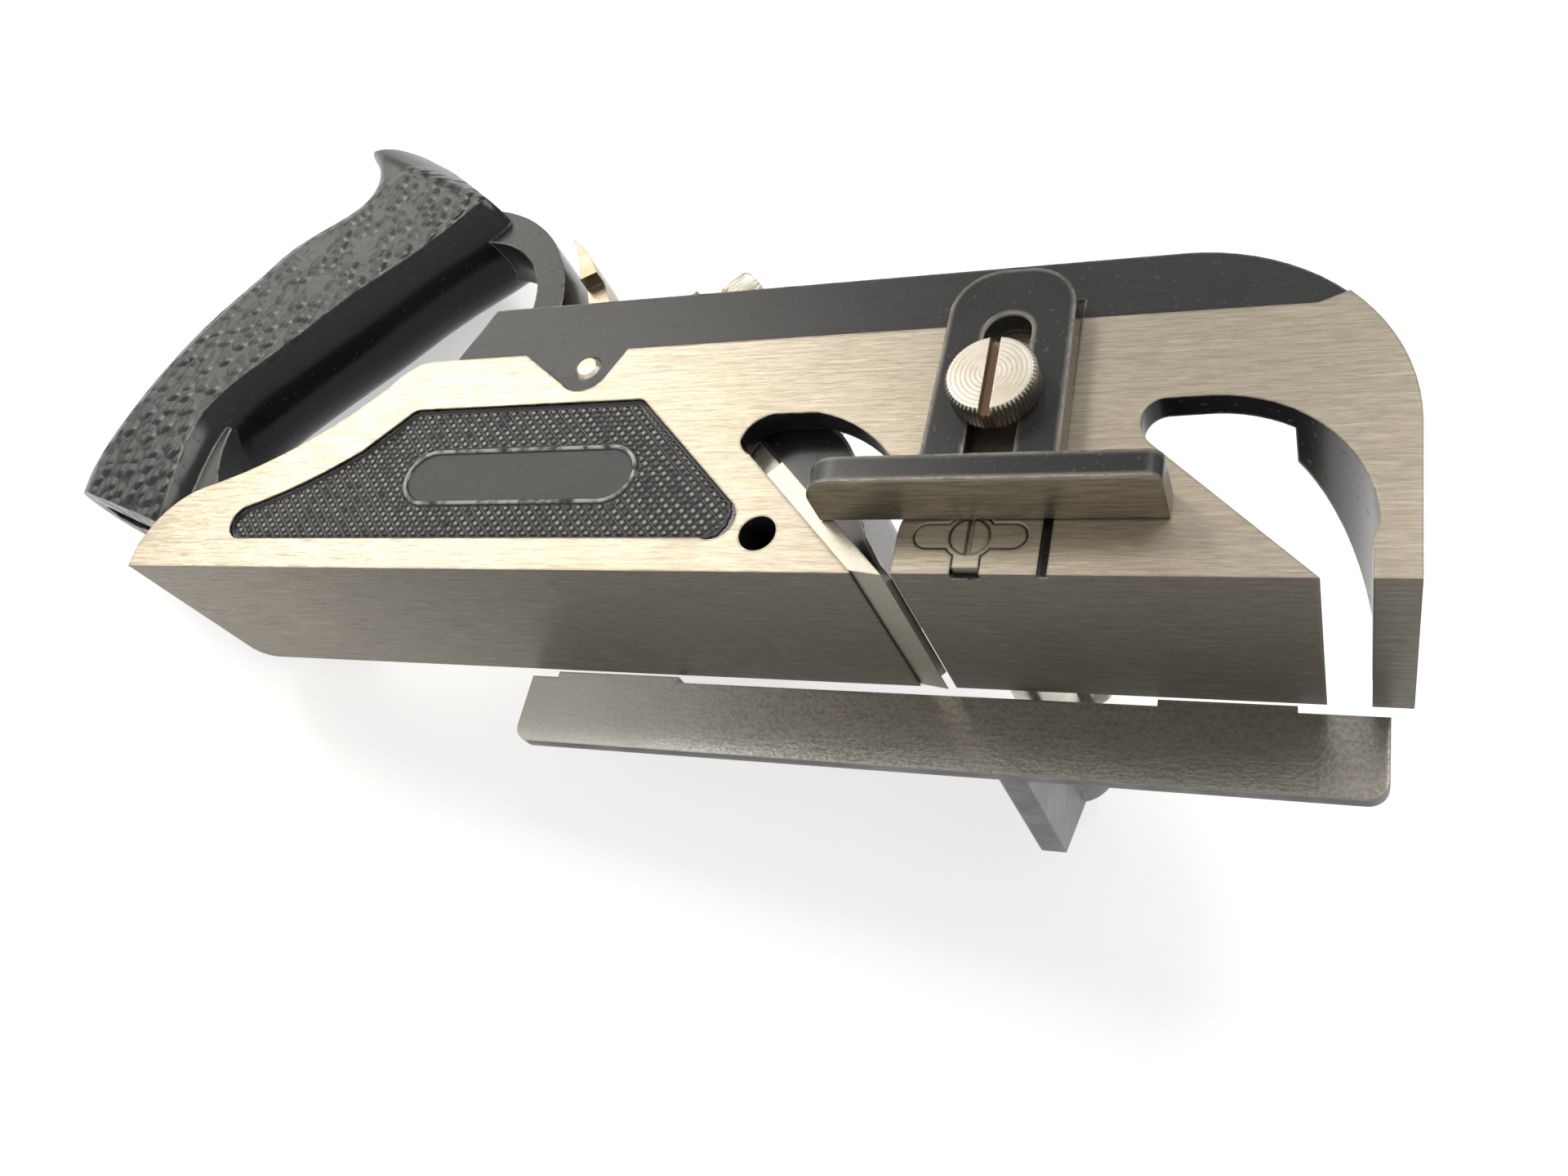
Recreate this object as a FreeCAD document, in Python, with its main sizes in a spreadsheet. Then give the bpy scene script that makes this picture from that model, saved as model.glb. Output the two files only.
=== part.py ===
import FreeCAD, Part
import math
import os
import Sketcher

# Rebate plane with fence, depth stop and spur.
# X runs from the heel to the toe, Y to the left of the user, Z up from the sole.
# Pieces are drawn with X = 0 at the heel and moved back by half the sole's length,
# so the origin is the middle of the sole.

doc = FreeCAD.newDocument("rebate_plane")
sheet = doc.addObject("Spreadsheet::Sheet", "Sizes")

# Driving sizes in millimetres, angles in degrees
SIZES = {
    # Sole and side wall
    "sole_length": 216, "body_width": 38, "sole_thick": 5, "heel_round": 4,
    "wall_thick": 4.5, "face_proud": 0.6,
    "heel_lip_z": 4, "heel_top_x": 10, "heel_top_z": 16.8, "heel_curve": 16,
    "rise_x": 45, "rise_z": 38, "rise_curve": 87,
    "shoulder_x": 51.5, "face_top": 43.2, "shoulder_curve": 12,
    "band_rear_x": 57.5, "band_rear_top_x": 62.5, "wall_top": 54.6,
    "nose_curve": 31.7, "face_front_back": 9, "nose_turn": 30,
    # Bed, mouth and the opening over it
    "bed_angle": 45, "bed_foot_x": 142.7, "mouth_width": 6, "mouth_side_z": 9, "mouth_slope": 5,
    "bed_block_x": 106, "bed_relief": 3, "relief_start": 13, "relief_end": 63,
    "opening_left_x": 119.8, "opening_top": 28.3, "opening_belly_x": 150.5,
    "opening_belly_z": 12, "opening_right_x": 145, "opening_right_z": 20, "belly_curve": 12,
    "right_curve": 15, "crown_curve": 24, "crown_length": 6, "opening_corner_r": 5.5, "opening_foot_r": 3.5,
    "rest_start": 62, "rest_end": 81, "rest_thick": 6, "rest_left": 17,
    # Front block, bullnose bed and nose
    "front_slot_back": 11.5, "front_slot_width": 6, "front_bed_back": 33.7, "front_bed_top_z": 20.8,
    "front_left_back": 35.2, "front_opening_top": 28.4, "front_arc_back": 26, "front_arc_r": 21.2,
    "front_throat_z": 8, "front_throat_curve": 5, "front_corner_r": 3.5, "front_corner_curve": 6,
    "block_top_back": 40, "block_top_z": 22, "nose_left_z": 11, "nose_slope": 3,
    # Spine between heel, bed and handle neck
    "spine_right": 8, "spine_left": 5, "spine_heel_x": 4, "spine_heel_z": 13,
    "spine_mid_x": 45, "spine_mid_z": 27, "spine_curve": 60, "spine_back_x": 58, "spine_back_z": 46,
    "neck_base_z": 62, "neck_front_x": 67.5, "neck_rear_x": 60.5, "spine_lever_x": 69, "spine_lever_z": 56,
    # Recessed side panel
    "panel_deep": 1, "panel_low": 5.8, "panel_high": 32.5, "panel_tip_x": 20.4, "panel_tip_r": 3.6,
    "panel_slope_x": 44.5, "panel_slope_z": 24, "panel_slope_curve": 95, "panel_top_x": 53,
    "panel_right_x": 100.5, "panel_right_r": 2.6, "panel_top_r": 3,
    "panel_foot_x": 121, "panel_foot_z": 12.3, "panel_foot_r": 3.8,
    # Handle and the hook that joins it to the spine
    "handle_mid_y": -2, "handle_front_r": 13.5, "hook_right": 8, "hook_left": 4, "hook_wrist_x": 66.9,
    "hook_wrist_z": 66, "hook_root_x": 36, "hollow_start": 10, "hollow_length": 17, "hollow_half": 4,
    "hollow_deep": 9,
    "palm_a_x": -41, "palm_a_z": 24, "ridge_a_x": -8, "ridge_a_z": 14, "half_a": 9.5,
    "palm_b_x": -40.6, "palm_b_z": 35, "ridge_b_x": -8.6, "ridge_b_z": 26, "half_b": 10.6,
    "palm_c_x": -36.5, "palm_c_z": 49, "ridge_c_x": -8.2, "ridge_c_z": 38, "half_c": 11,
    "palm_d_x": -28.5, "palm_d_z": 66, "ridge_d_x": -2, "ridge_d_z": 48, "half_d": 11,
    "palm_e_x": -17, "palm_e_z": 81.5, "ridge_e_x": 10, "ridge_e_z": 59.3, "half_e": 11,
    "palm_f_x": -4.5, "palm_f_z": 93.3, "ridge_f_x": 22.8, "ridge_f_z": 71.3, "half_f": 11,
    "palm_g_x": 4, "palm_g_z": 102, "ridge_g_x": 34, "ridge_g_z": 80.8, "half_g": 11,
    "palm_h_x": 1.5, "palm_h_z": 110, "ridge_h_x": 41.5, "ridge_h_z": 87.5, "half_h": 11.5,
    "palm_i_x": -2, "palm_i_z": 114, "ridge_i_x": 43.5, "ridge_i_z": 90, "half_i": 11,
    "palm_j_x": 3.5, "palm_j_z": 115.8, "ridge_j_x": 31, "ridge_j_z": 100.5, "half_j": 7.5,
    "palm_k_x": 10.5, "palm_k_z": 115, "ridge_k_x": 22, "ridge_k_z": 108.3, "half_k": 3.5,
    "hook_outer_x": 44, "hook_outer_z": 91, "hook_outer_r": 31, "hook_inner_x": 45, "hook_inner_z": 82.5,
    "hook_inner_r": 19, "web_right": 9, "web_left": 5,
    # Cutter
    "cutter_thick": 3.1, "cutter_gap": 0.05, "cutter_top": 85, "cutter_round": 12, "cutter_shoulder": 24,
    "cutter_proud": 0.3, "bevel_angle": 37, "cutter_slot_low": 30,
    "cutter_slot_high": 54, "cutter_slot_width": 8, "rack_pitch": 2.6, "rack_width": 1.5, "rack_deep": 1.1,
    "rack_below": 10.4, "rack_count": 10, "cutter_side_y": 13.5,
    # Lever cap, its screw and thumbscrew
    "cap_toe": 1, "cap_toe_thick": 1.4, "cap_heel": 7, "cap_swell": 20, "cap_swell_high": 12.2,
    "cap_high": 13.6, "cap_high_at": 28, "cap_end": 80, "cap_end_high": 12, "cap_hollow": 3,
    "cap_right": 13, "cap_left": 18.6, "cap_gap": 0.1, "cap_mid_y": -2, "cap_end_half": 10, "cap_taper": 34,
    "cap_screw_place": 42, "cap_screw_r": 2.9, "cap_screw_head_r": 5.4, "cap_screw_head": 2.8,
    "cap_screw_deep": 12, "cap_slot_travel": 9,
    "thumb_place": 71.3, "thumb_r": 3.4, "thumb_collar_r": 4.6, "thumb_head_r": 7, "thumb_head": 5.8,
    "thumb_top": 22.2, "thumb_collar_low": 12.7,
    # Adjusting lever and its pin
    "pivot_x": 86.5, "pivot_z": 40, "pin_r": 2.35, "pin_end_y": 3, "lever_mid_y": -2, "lever_half": 2.5,
    "lever_ring_r": 5, "lever_foot_x": 82.5, "lever_foot_z": 44, "lever_knee_x": 75.5, "lever_knee_z": 61.5,
    "lever_bend_x": 70.6, "lever_bend_z": 71.5, "lever_tip_x": 63.7, "lever_tip_z": 81.8,
    "lever_thick": 3.3, "lever_curl": 30, "lever_pad_half": 5.5, "lever_tooth_half": 0.55,
    "lever_bite": 0.7, "lever_slot_gap": 0.2, "lever_room": 7.5, "boss_r": 5.2,
    # Depth stop
    "stop_x": 161.3, "stop_width": 18.8, "stop_top": 49.6, "stop_thick": 4.2, "stop_gap": 0.3,
    "foot_length": 49.6, "foot_bottom": 8.6, "foot_thick": 4, "foot_deep": 10.3, "foot_round": 5,
    "gusset": 1.8,
    "stop_slot": 7.2, "stop_slot_top": 41.3, "guide_x": 170, "guide_width": 1.4, "guide_deep": 1,
    "rib_low": 14, "rib_high": 34, "stop_screw_z": 27, "stop_screw_r": 2.1, "stop_head_r": 6.6,
    "stop_head": 4.7, "head_slot": 1.6, "head_slot_deep": 1.5,
    # Spur
    "spur_x": 159.3, "spur_z": 6, "spur_thick": 1.45, "spur_hub_r": 3.6, "spur_lobe": 3.8,
    "spur_reach": 8, "spur_blank": 5.1, "spur_gap": 0.2, "spur_screw_r": 1.6, "spur_head_r": 2.9,
    "spur_head": 1.1, "spur_screw_deep": 8,
    # Fence, arm and thumbscrew
    "arm_x": 159.3, "arm_right_x": 126.7, "arm_z": 6.6, "arm_r": 5, "arm_thread_r": 3, "arm_thread": 12,
    "arm_end_y": 73, "arm_hole_r": 1.6, "arm_hole_y": 70.3,
    "fence_rear_x": 67, "fence_front_back": 3, "fence_face_y": 19.2, "fence_thick": 2.5,
    "fence_top_gap": 1.4, "fence_bottom": 14.2, "fence_round": 3, "fence_pad_gap": 0.3,
    "pad_rear_x": 72.5, "pad_rear_length": 25, "pad_front_back": 35.5, "pad_front_length": 20,
    "boss_start_y": 43.5, "boss_end_y": 68, "fence_boss_r": 7.2, "web_thick": 4.4, "web_end_y": 56,
    "fence_screw_r": 2.4, "fence_screw_y": 56, "fence_neck_r": 3.6, "fence_neck": 2.2,
    # Clearances
    "run_gap": 0.05, "seat_gap": 0.1, "overcut": 2,
}


class Size:
    """A value together with the expression that binds it to the sheet."""

    def __init__(self, text, value):
        self.text = text
        self.value = float(value)

    def pair(self, sign, other, value):
        return Size("(%s %s %s)" % (self.text, sign, size(other).text), value)

    def __add__(self, other):
        return self.pair("+", other, self.value + size(other).value)

    def __sub__(self, other):
        return self.pair("-", other, self.value - size(other).value)

    def __mul__(self, other):
        return self.pair("*", other, self.value * size(other).value)

    def __truediv__(self, other):
        return self.pair("/", other, self.value / size(other).value)

    def __neg__(self):
        return Size("(0 - %s)" % self.text, -self.value)


def size(item):
    """A Size from a Size, a sheet name or a plain number."""
    if isinstance(item, Size):
        return item
    if isinstance(item, str):
        return Size("Sizes." + item, SIZES[item])
    return Size(repr(item), item)


def sine(item):
    angle = size(item)
    return Size("sin(%s)" % angle.text, math.sin(math.radians(angle.value)))


def cosine(item):
    angle = size(item)
    return Size("cos(%s)" % angle.text, math.cos(math.radians(angle.value)))


def tangent(item):
    return sine(item) / cosine(item)


for row, (name, number) in enumerate(SIZES.items(), start=1):
    sheet.set("A%d" % row, name)
    sheet.set("B%d" % row, str(number))
    sheet.setAlias("B%d" % row, name)
doc.recompute()

HALF_WIDTH = size("body_width") / 2
BACK_HALF = size("sole_length") / 2
WALL_INNER = -HALF_WIDTH + "wall_thick"
FACE_INNER = -HALF_WIDTH + "face_proud"
FAR = size("body_width") * 2
TO_SIDE = "XZ_Plane"
TO_TOP = "XY_Plane"
TO_FRONT = "YZ_Plane"
parts = []


def new_body(label):
    body = doc.addObject("PartDesign::Body", label)
    body.Label = label
    parts.append(body)
    return body


def set_in_frame(body):
    """Moves a piece drawn from the heel so that the origin is mid-sole."""
    body.setExpression("Placement.Base.x", (-BACK_HALF).text)


def bed_rotation():
    """Half a turn that lays local X up the bed with local Z standing on it."""
    half_bed = math.radians(SIZES["bed_angle"]) / 2
    return FreeCAD.Rotation(FreeCAD.Vector(math.sin(half_bed), 0, math.cos(half_bed)), 180)


def set_on_bed(body):
    """Local X runs up the bed, Z stands on it, and the bed's foot is the local origin."""
    foot = FreeCAD.Vector(SIZES["bed_foot_x"] - SIZES["sole_length"] / 2, 0, 0)
    body.Placement = FreeCAD.Placement(foot, bed_rotation())


def on_bed(up, out):
    """Side-view place of a point that lies up the bed and out from its surface."""
    along = size("bed_foot_x") - size(up) * cosine("bed_angle") + size(out) * sine("bed_angle")
    return along, size(up) * sine("bed_angle") + size(out) * cosine("bed_angle")


def new_sketch(body, plane, label, at):
    """A sketch on one of the body's own planes, shifted along that plane's normal."""
    sketch = body.newObject("Sketcher::SketchObject", label)
    support = [item for item in body.Origin.OriginFeatures if item.Role == plane][0]
    sketch.AttachmentSupport = [(support, "")]
    sketch.MapMode = "FlatFace"
    shift = -size(at) if plane == TO_SIDE else size(at)
    sketch.setExpression("AttachmentOffset.Base.z", shift.text)
    return sketch


def hold(sketch, kind, geometry, point, value):
    """Fixes one coordinate of a sketch point to its size."""
    if abs(value.value) < 1e-9:
        axis = -2 if kind == "DistanceX" else -1
        sketch.addConstraint(Sketcher.Constraint("PointOnObject", geometry, point, axis))
        return
    index = sketch.addConstraint(Sketcher.Constraint(kind, -1, 1, geometry, point, value.value))
    sketch.setExpression("Constraints[%d]" % index, value.text)


def arc_centre(start, end, radius, turn):
    """Centre of the shorter arc from start to end; turn 1 is anticlockwise, -1 clockwise."""
    chord = end - start
    half = chord.Length / 2
    reach = math.sqrt(max(radius * radius - half * half, 0))
    side = FreeCAD.Vector(-chord.y, chord.x, 0)
    side.normalize()
    return (start + end) / 2 + side * (reach * turn)


def draw_outline(sketch, steps):
    """Closed outline; each step is (x, y) for a line to it or (x, y, radius, turn) for an arc."""
    points = [(size(step[0]), size(step[1])) for step in steps]
    spots = [FreeCAD.Vector(x.value, y.value, 0) for x, y in points]
    ends = []
    for number, step in enumerate(steps):
        start = spots[number - 1]
        end = spots[number]
        if len(step) == 2:
            sketch.addGeometry(Part.LineSegment(start, end), False)
            ends.append((1, 2))
            continue
        radius = size(step[2])
        centre = arc_centre(start, end, radius.value, step[3])
        first, last = (start, end) if step[3] > 0 else (end, start)
        from_angle = math.atan2(first.y - centre.y, first.x - centre.x)
        to_angle = math.atan2(last.y - centre.y, last.x - centre.x)
        circle = Part.Circle(centre, FreeCAD.Vector(0, 0, 1), radius.value)
        sketch.addGeometry(Part.ArcOfCircle(circle, from_angle, to_angle), False)
        ends.append((1, 2) if step[3] > 0 else (2, 1))
    for number, step in enumerate(steps):
        following = (number + 1) % len(steps)
        joint = (number, ends[number][1], following, ends[following][0])
        sketch.addConstraint(Sketcher.Constraint("Coincident", *joint))
        hold(sketch, "DistanceX", number, ends[number][1], points[number][0])
        hold(sketch, "DistanceY", number, ends[number][1], points[number][1])
        if len(step) == 4:
            radius = size(step[2])
            index = sketch.addConstraint(Sketcher.Constraint("Radius", number, radius.value))
            sketch.setExpression("Constraints[%d]" % index, radius.text)


def draw_circle(sketch, x, y, radius):
    x, y, radius = size(x), size(y), size(radius)
    centre = FreeCAD.Vector(x.value, y.value, 0)
    sketch.addGeometry(Part.Circle(centre, FreeCAD.Vector(0, 0, 1), radius.value), False)
    hold(sketch, "DistanceX", 0, 3, x)
    hold(sketch, "DistanceY", 0, 3, y)
    index = sketch.addConstraint(Sketcher.Constraint("Radius", 0, radius.value))
    sketch.setExpression("Constraints[%d]" % index, radius.text)


def draw(sketch, shape):
    """A dictionary's circle or a list's outline."""
    if isinstance(shape, dict):
        draw_circle(sketch, shape["x"], shape["y"], shape["r"])
    else:
        draw_outline(sketch, shape)


def add(body, label, plane, shape, low, high):
    """Adds the shape from low to high along the axis that the plane faces."""
    low, high = size(low), size(high)
    sketch = new_sketch(body, plane, label + "_outline", high if plane == TO_SIDE else low)
    draw(sketch, shape)
    feature = body.newObject("PartDesign::Pad", label)
    feature.Profile = sketch
    feature.setExpression("Length", (high - low).text)
    body.Tip = feature
    return feature


def cut(body, label, plane, shape, low, high):
    """Cuts the shape from low to high along the axis that the plane faces."""
    low, high = size(low), size(high)
    doc.recompute()
    before = body.Shape.Volume
    sketch = new_sketch(body, plane, label + "_outline", low if plane == TO_SIDE else high)
    draw(sketch, shape)
    feature = body.newObject("PartDesign::Pocket", label)
    feature.Profile = sketch
    feature.setExpression("Length", (high - low).text)
    body.Tip = feature
    doc.recompute()
    if not body.Shape.Volume < before - 1e-6:
        raise ValueError("%s cut nothing: %s" % (label, feature.State))
    return feature


def bar(x_low, x_high, y_low, y_high):
    """A square-cornered outline."""
    return [(x_high, y_low), (x_high, y_high), (x_low, y_high), (x_low, y_low)]


def circle(x, y, r):
    return {"x": x, "y": y, "r": r}


# Body casting: sole, side wall, two beds, front block, nose and spine
casting = new_body("body_casting")
HEEL_LINE = [("heel_top_x", "heel_top_z", "heel_curve", -1), ("rise_x", "rise_z", "rise_curve", 1)]
TOE = size("sole_length")
NOSE_START = TOE - "nose_curve"
FACE_FRONT_X = TOE - "face_front_back"
FRONT_SLOT_X = TOE - "front_slot_back"
FRONT_BED_TOP_X = TOE - "front_bed_back"
FRONT_LEFT_X = TOE - "front_left_back"
FRONT_ARC_X = TOE - "front_arc_back"
BLOCK_TOP_X = TOE - "block_top_back"
wall = [(0, 0), (0, "heel_lip_z")] + HEEL_LINE + [
    ("shoulder_x", "face_top", "shoulder_curve", -1),
    ("band_rear_x", "face_top"),
    ("band_rear_top_x", "wall_top"),
    (NOSE_START, "wall_top"),
    ("sole_length", size("wall_top") - "nose_curve", "nose_curve", -1),
    ("sole_length", 0),
]
add(casting, "wall", TO_SIDE, wall, FACE_INNER, WALL_INNER)
NOSE_SPAN = FACE_FRONT_X - NOSE_START
NOSE_FALL = Size(
    "sqrt(pow(Sizes.nose_curve; 2) - pow(%s; 2))" % NOSE_SPAN.text,
    math.sqrt(SIZES["nose_curve"] ** 2 - NOSE_SPAN.value ** 2),
)
FACE_FRONT_Z = size("wall_top") - "nose_curve" + NOSE_FALL
BOSS_LEFT = size("pivot_x") - size("boss_r") * 2.6
face = [(0, 0), (0, "heel_lip_z")] + HEEL_LINE + [
    ("shoulder_x", "face_top", "shoulder_curve", -1),
    (BOSS_LEFT, "face_top"),
    (size("pivot_x") - size("boss_r") * 0.75, size("pivot_z") - size("boss_r") * 0.7),
    (size("pivot_x") + size("boss_r") * 0.8, size("pivot_z") - size("boss_r") * 0.6, "boss_r", 1),
    (size("pivot_x") + size("boss_r") * 1.4, "face_top"),
    (FACE_FRONT_X - 4, "face_top"),
    (FACE_FRONT_X, FACE_FRONT_Z),
    ("sole_length", size("wall_top") - "nose_curve", "nose_curve", -1),
    ("sole_length", 0),
]
add(casting, "ground_face", TO_SIDE, face, -HALF_WIDTH, FACE_INNER)
sole = [
    ("sole_length", -HALF_WIDTH),
    ("sole_length", HALF_WIDTH),
    ("heel_round", HALF_WIDTH),
    (0, HALF_WIDTH - "heel_round", "heel_round", 1),
    (0, -HALF_WIDTH),
]
add(casting, "sole", TO_TOP, sole, 0, "sole_thick")
spine = [
    ("spine_heel_x", size("sole_thick") / 2),
    ("spine_heel_x", size("spine_heel_z") - 3),
    (size("spine_heel_x") + 5, "spine_heel_z", 6, -1),
    ("spine_mid_x", "spine_mid_z", "spine_curve", 1),
    ("spine_back_x", "spine_back_z", "spine_curve", 1),
    ("neck_rear_x", "neck_base_z"),
    ("neck_front_x", "neck_base_z"),
    ("spine_lever_x", "spine_lever_z"),
    on_bed("rest_end", -size("rest_thick")),
    on_bed("rest_end", 0),
    on_bed(size("sole_thick") / 2, 0),
]
add(casting, "spine", TO_SIDE, spine, -size("spine_right"), "spine_left")
BLOCK_UP = size("relief_start") + 14
bed_block = [
    ("bed_block_x", size("sole_thick") / 2),
    ("bed_block_x", on_bed(BLOCK_UP, 0)[1]),
    on_bed(BLOCK_UP, 0),
    on_bed(size("sole_thick") / 2, 0),
]
add(casting, "bed_block", TO_SIDE, bed_block, WALL_INNER, HALF_WIDTH)
bed_rest = [
    on_bed("rest_start", -size("rest_thick")),
    on_bed("rest_end", -size("rest_thick")),
    on_bed("rest_end", 0),
    on_bed("rest_start", 0),
]
add(casting, "bed_rest", TO_SIDE, bed_rest, -size("spine_right"), "rest_left")
MOUTH_FRONT = size("bed_foot_x") + "mouth_width"
front_block = [
    (MOUTH_FRONT, size("sole_thick") / 2),
    (FRONT_SLOT_X, size("sole_thick") / 2),
    (FRONT_BED_TOP_X, "front_bed_top_z"),
    (BLOCK_TOP_X, "block_top_z"),
    (MOUTH_FRONT + "mouth_slope", size("mouth_side_z") + "mouth_slope"),
    (MOUTH_FRONT, "mouth_side_z"),
]
add(casting, "front_block", TO_SIDE, front_block, WALL_INNER, HALF_WIDTH)
THROAT_X = FRONT_ARC_X + "front_arc_r"
SLOT_FRONT = FRONT_SLOT_X + "front_slot_width"
ARC_MID = size("front_opening_top") - "front_arc_r"
NOSE_TOP_X = NOSE_START + size("nose_curve") * sine("nose_turn")
NOSE_TOP_Z = size("wall_top") - "nose_curve" + size("nose_curve") * cosine("nose_turn")
nose = [
    (SLOT_FRONT, size("sole_thick") / 2),
    ("sole_length", size("sole_thick") / 2),
    ("sole_length", size("wall_top") - "nose_curve"),
    (NOSE_TOP_X, NOSE_TOP_Z, "nose_curve", 1),
    (FRONT_ARC_X + size("front_arc_r") / 2, ARC_MID + size("front_arc_r") * 0.7),
    (THROAT_X - 4, ARC_MID),
]
add(casting, "nose", TO_SIDE, nose, WALL_INNER, HALF_WIDTH)
nose_taper = [
    (WALL_INNER + "nose_slope", size("wall_top") + "overcut"),
    (WALL_INNER + "nose_slope", "opening_top"),
    (HALF_WIDTH - "nose_slope", size("nose_left_z") + "nose_slope"),
    (HALF_WIDTH, "nose_left_z"),
    (FAR, "nose_left_z"),
    (FAR, size("wall_top") + "overcut"),
]
cut(casting, "nose_taper", TO_FRONT, nose_taper, FRONT_BED_TOP_X, TOE + "overcut")
MOUTH_LOW = -size("overcut")
BED_LOW = size("overcut") / sine("bed_angle")
BED_TOP = (size("bed_foot_x") - "opening_left_x") / cosine("bed_angle") - 3
opening = [
    on_bed(-BED_LOW, 0),
    (MOUTH_FRONT, MOUTH_LOW),
    (MOUTH_FRONT, size("mouth_side_z") / 2),
    ("opening_belly_x", "opening_belly_z", "belly_curve", -1),
    ("opening_right_x", "opening_right_z", "right_curve", 1),
    (size("opening_left_x") + size("crown_length") * 2, "opening_top", "crown_curve", 1),
    (size("opening_left_x") + "crown_length", "opening_top"),
    ("opening_left_x", size("opening_top") - 4.5, "opening_corner_r", 1),
    (on_bed(BED_TOP, 0) + ("opening_foot_r", 1)),
]
cut(casting, "mouth_opening", TO_SIDE, opening, -HALF_WIDTH, HALF_WIDTH)
front_opening = [
    (FRONT_SLOT_X, MOUTH_LOW),
    (SLOT_FRONT, MOUTH_LOW),
    (SLOT_FRONT, size("front_throat_z") / 2),
    (THROAT_X, "front_throat_z", "front_throat_curve", -1),
    (FRONT_ARC_X, "front_opening_top", "front_arc_r", 1),
    (FRONT_LEFT_X + "front_corner_r", size("front_opening_top") - 0.2),
    (FRONT_LEFT_X, size("front_opening_top") - "front_corner_r" - 0.2, "front_corner_r", 1),
    (FRONT_BED_TOP_X, "front_bed_top_z", "front_corner_curve", 1),
    (FRONT_SLOT_X, 0),
]
cut(casting, "front_opening", TO_SIDE, front_opening, -HALF_WIDTH, HALF_WIDTH)
relief = [
    on_bed("relief_start", 1),
    on_bed("relief_start", -size("bed_relief")),
    on_bed("relief_end", -size("bed_relief")),
    on_bed("relief_end", 1),
]
cut(casting, "bed_relief", TO_SIDE, relief, WALL_INNER, HALF_WIDTH)
TIP_TOP = size("panel_low") + size("panel_tip_r") * 1.85
panel = [
    (size("panel_foot_x") - "panel_foot_r", "panel_low"),
    ("panel_foot_x", "panel_foot_z", "panel_foot_r", 1),
    ("panel_right_x", size("panel_high") - 0.6),
    (size("panel_right_x") - 2, "panel_high", "panel_right_r", 1),
    (size("panel_top_x") + 1.5, "panel_high"),
    (size("panel_top_x") - 1, size("panel_high") - 1.2, "panel_top_r", 1),
    ("panel_slope_x", "panel_slope_z"),
    (size("panel_tip_x") + 2, TIP_TOP, "panel_slope_curve", -1),
    (size("panel_tip_x") + "panel_tip_r", "panel_low", "panel_tip_r", 1),
]
cut(casting, "panel", TO_SIDE, panel, -HALF_WIDTH, -HALF_WIDTH + "panel_deep")
SPUR_FLOOR = -HALF_WIDTH + "spur_thick" + "seat_gap"
LOBE_HALF = size("spur_lobe") / 2 + "spur_gap"
LOBE_OUT = size("spur_reach") + "spur_gap"


def lobe_pair(reach_left, reach_right, half):
    """A level bar with round ends about the spur's centre."""
    left = size("spur_x") - reach_left
    right = size("spur_x") + reach_right
    low = size("spur_z") - half
    high = size("spur_z") + half
    return [
        (right - half, low),
        (right, "spur_z", half, 1),
        (right - half, high, half, 1),
        (left + half, high),
        (left, "spur_z", half, 1),
        (left + half, low, half, 1),
    ]


def lobe_upright(low, reach, half):
    """An upright bar with a round top about the spur's centre and a square foot at low."""
    left = size("spur_x") - half
    right = size("spur_x") + half
    top = size("spur_z") + reach
    return [
        (right, low),
        (right, top - half),
        ("spur_x", top, half, 1),
        (left, top - half, half, 1),
        (left, low),
    ]


cut(casting, "spur_seat_level", TO_SIDE, lobe_pair(LOBE_OUT, LOBE_OUT, LOBE_HALF), -HALF_WIDTH, SPUR_FLOOR)
UPRIGHT_SEAT = lobe_upright(MOUTH_LOW, LOBE_OUT, LOBE_HALF)
cut(casting, "spur_seat_upright", TO_SIDE, UPRIGHT_SEAT, -HALF_WIDTH, SPUR_FLOOR)
SEAT_HUB = circle("spur_x", "spur_z", size("spur_hub_r") + "spur_gap")
cut(casting, "spur_seat_hub", TO_SIDE, SEAT_HUB, -HALF_WIDTH, SPUR_FLOOR)
SPUR_BORE = circle("spur_x", "spur_z", size("spur_screw_r") + "run_gap")
SPUR_BORE_END = -HALF_WIDTH + "spur_screw_deep" + 1
cut(casting, "spur_bore", TO_SIDE, SPUR_BORE, -HALF_WIDTH, SPUR_BORE_END)
GUIDE_HALF = size("guide_width") / 2
guide = bar(size("guide_x") - GUIDE_HALF, size("guide_x") + GUIDE_HALF, MOUTH_LOW, size("face_top") + 4)
cut(casting, "guide_groove", TO_SIDE, guide, -HALF_WIDTH, -HALF_WIDTH + "guide_deep")
STOP_BORE = circle("stop_x", "stop_screw_z", size("stop_screw_r") + "run_gap")
cut(casting, "stop_bore", TO_SIDE, STOP_BORE, -HALF_WIDTH, WALL_INNER + 1)
ARM_BORE_DEEP = size("arm_thread") + 1
RIGHT_BORE = circle("arm_right_x", "arm_z", "arm_thread_r")
cut(casting, "arm_bore_right", TO_SIDE, RIGHT_BORE, -HALF_WIDTH, -HALF_WIDTH + ARM_BORE_DEEP + 3)
ARM_BORE = circle("arm_x", "arm_z", size("arm_thread_r") + "run_gap")
cut(casting, "arm_bore_left", TO_SIDE, ARM_BORE, HALF_WIDTH - ARM_BORE_DEEP, HALF_WIDTH)


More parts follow.
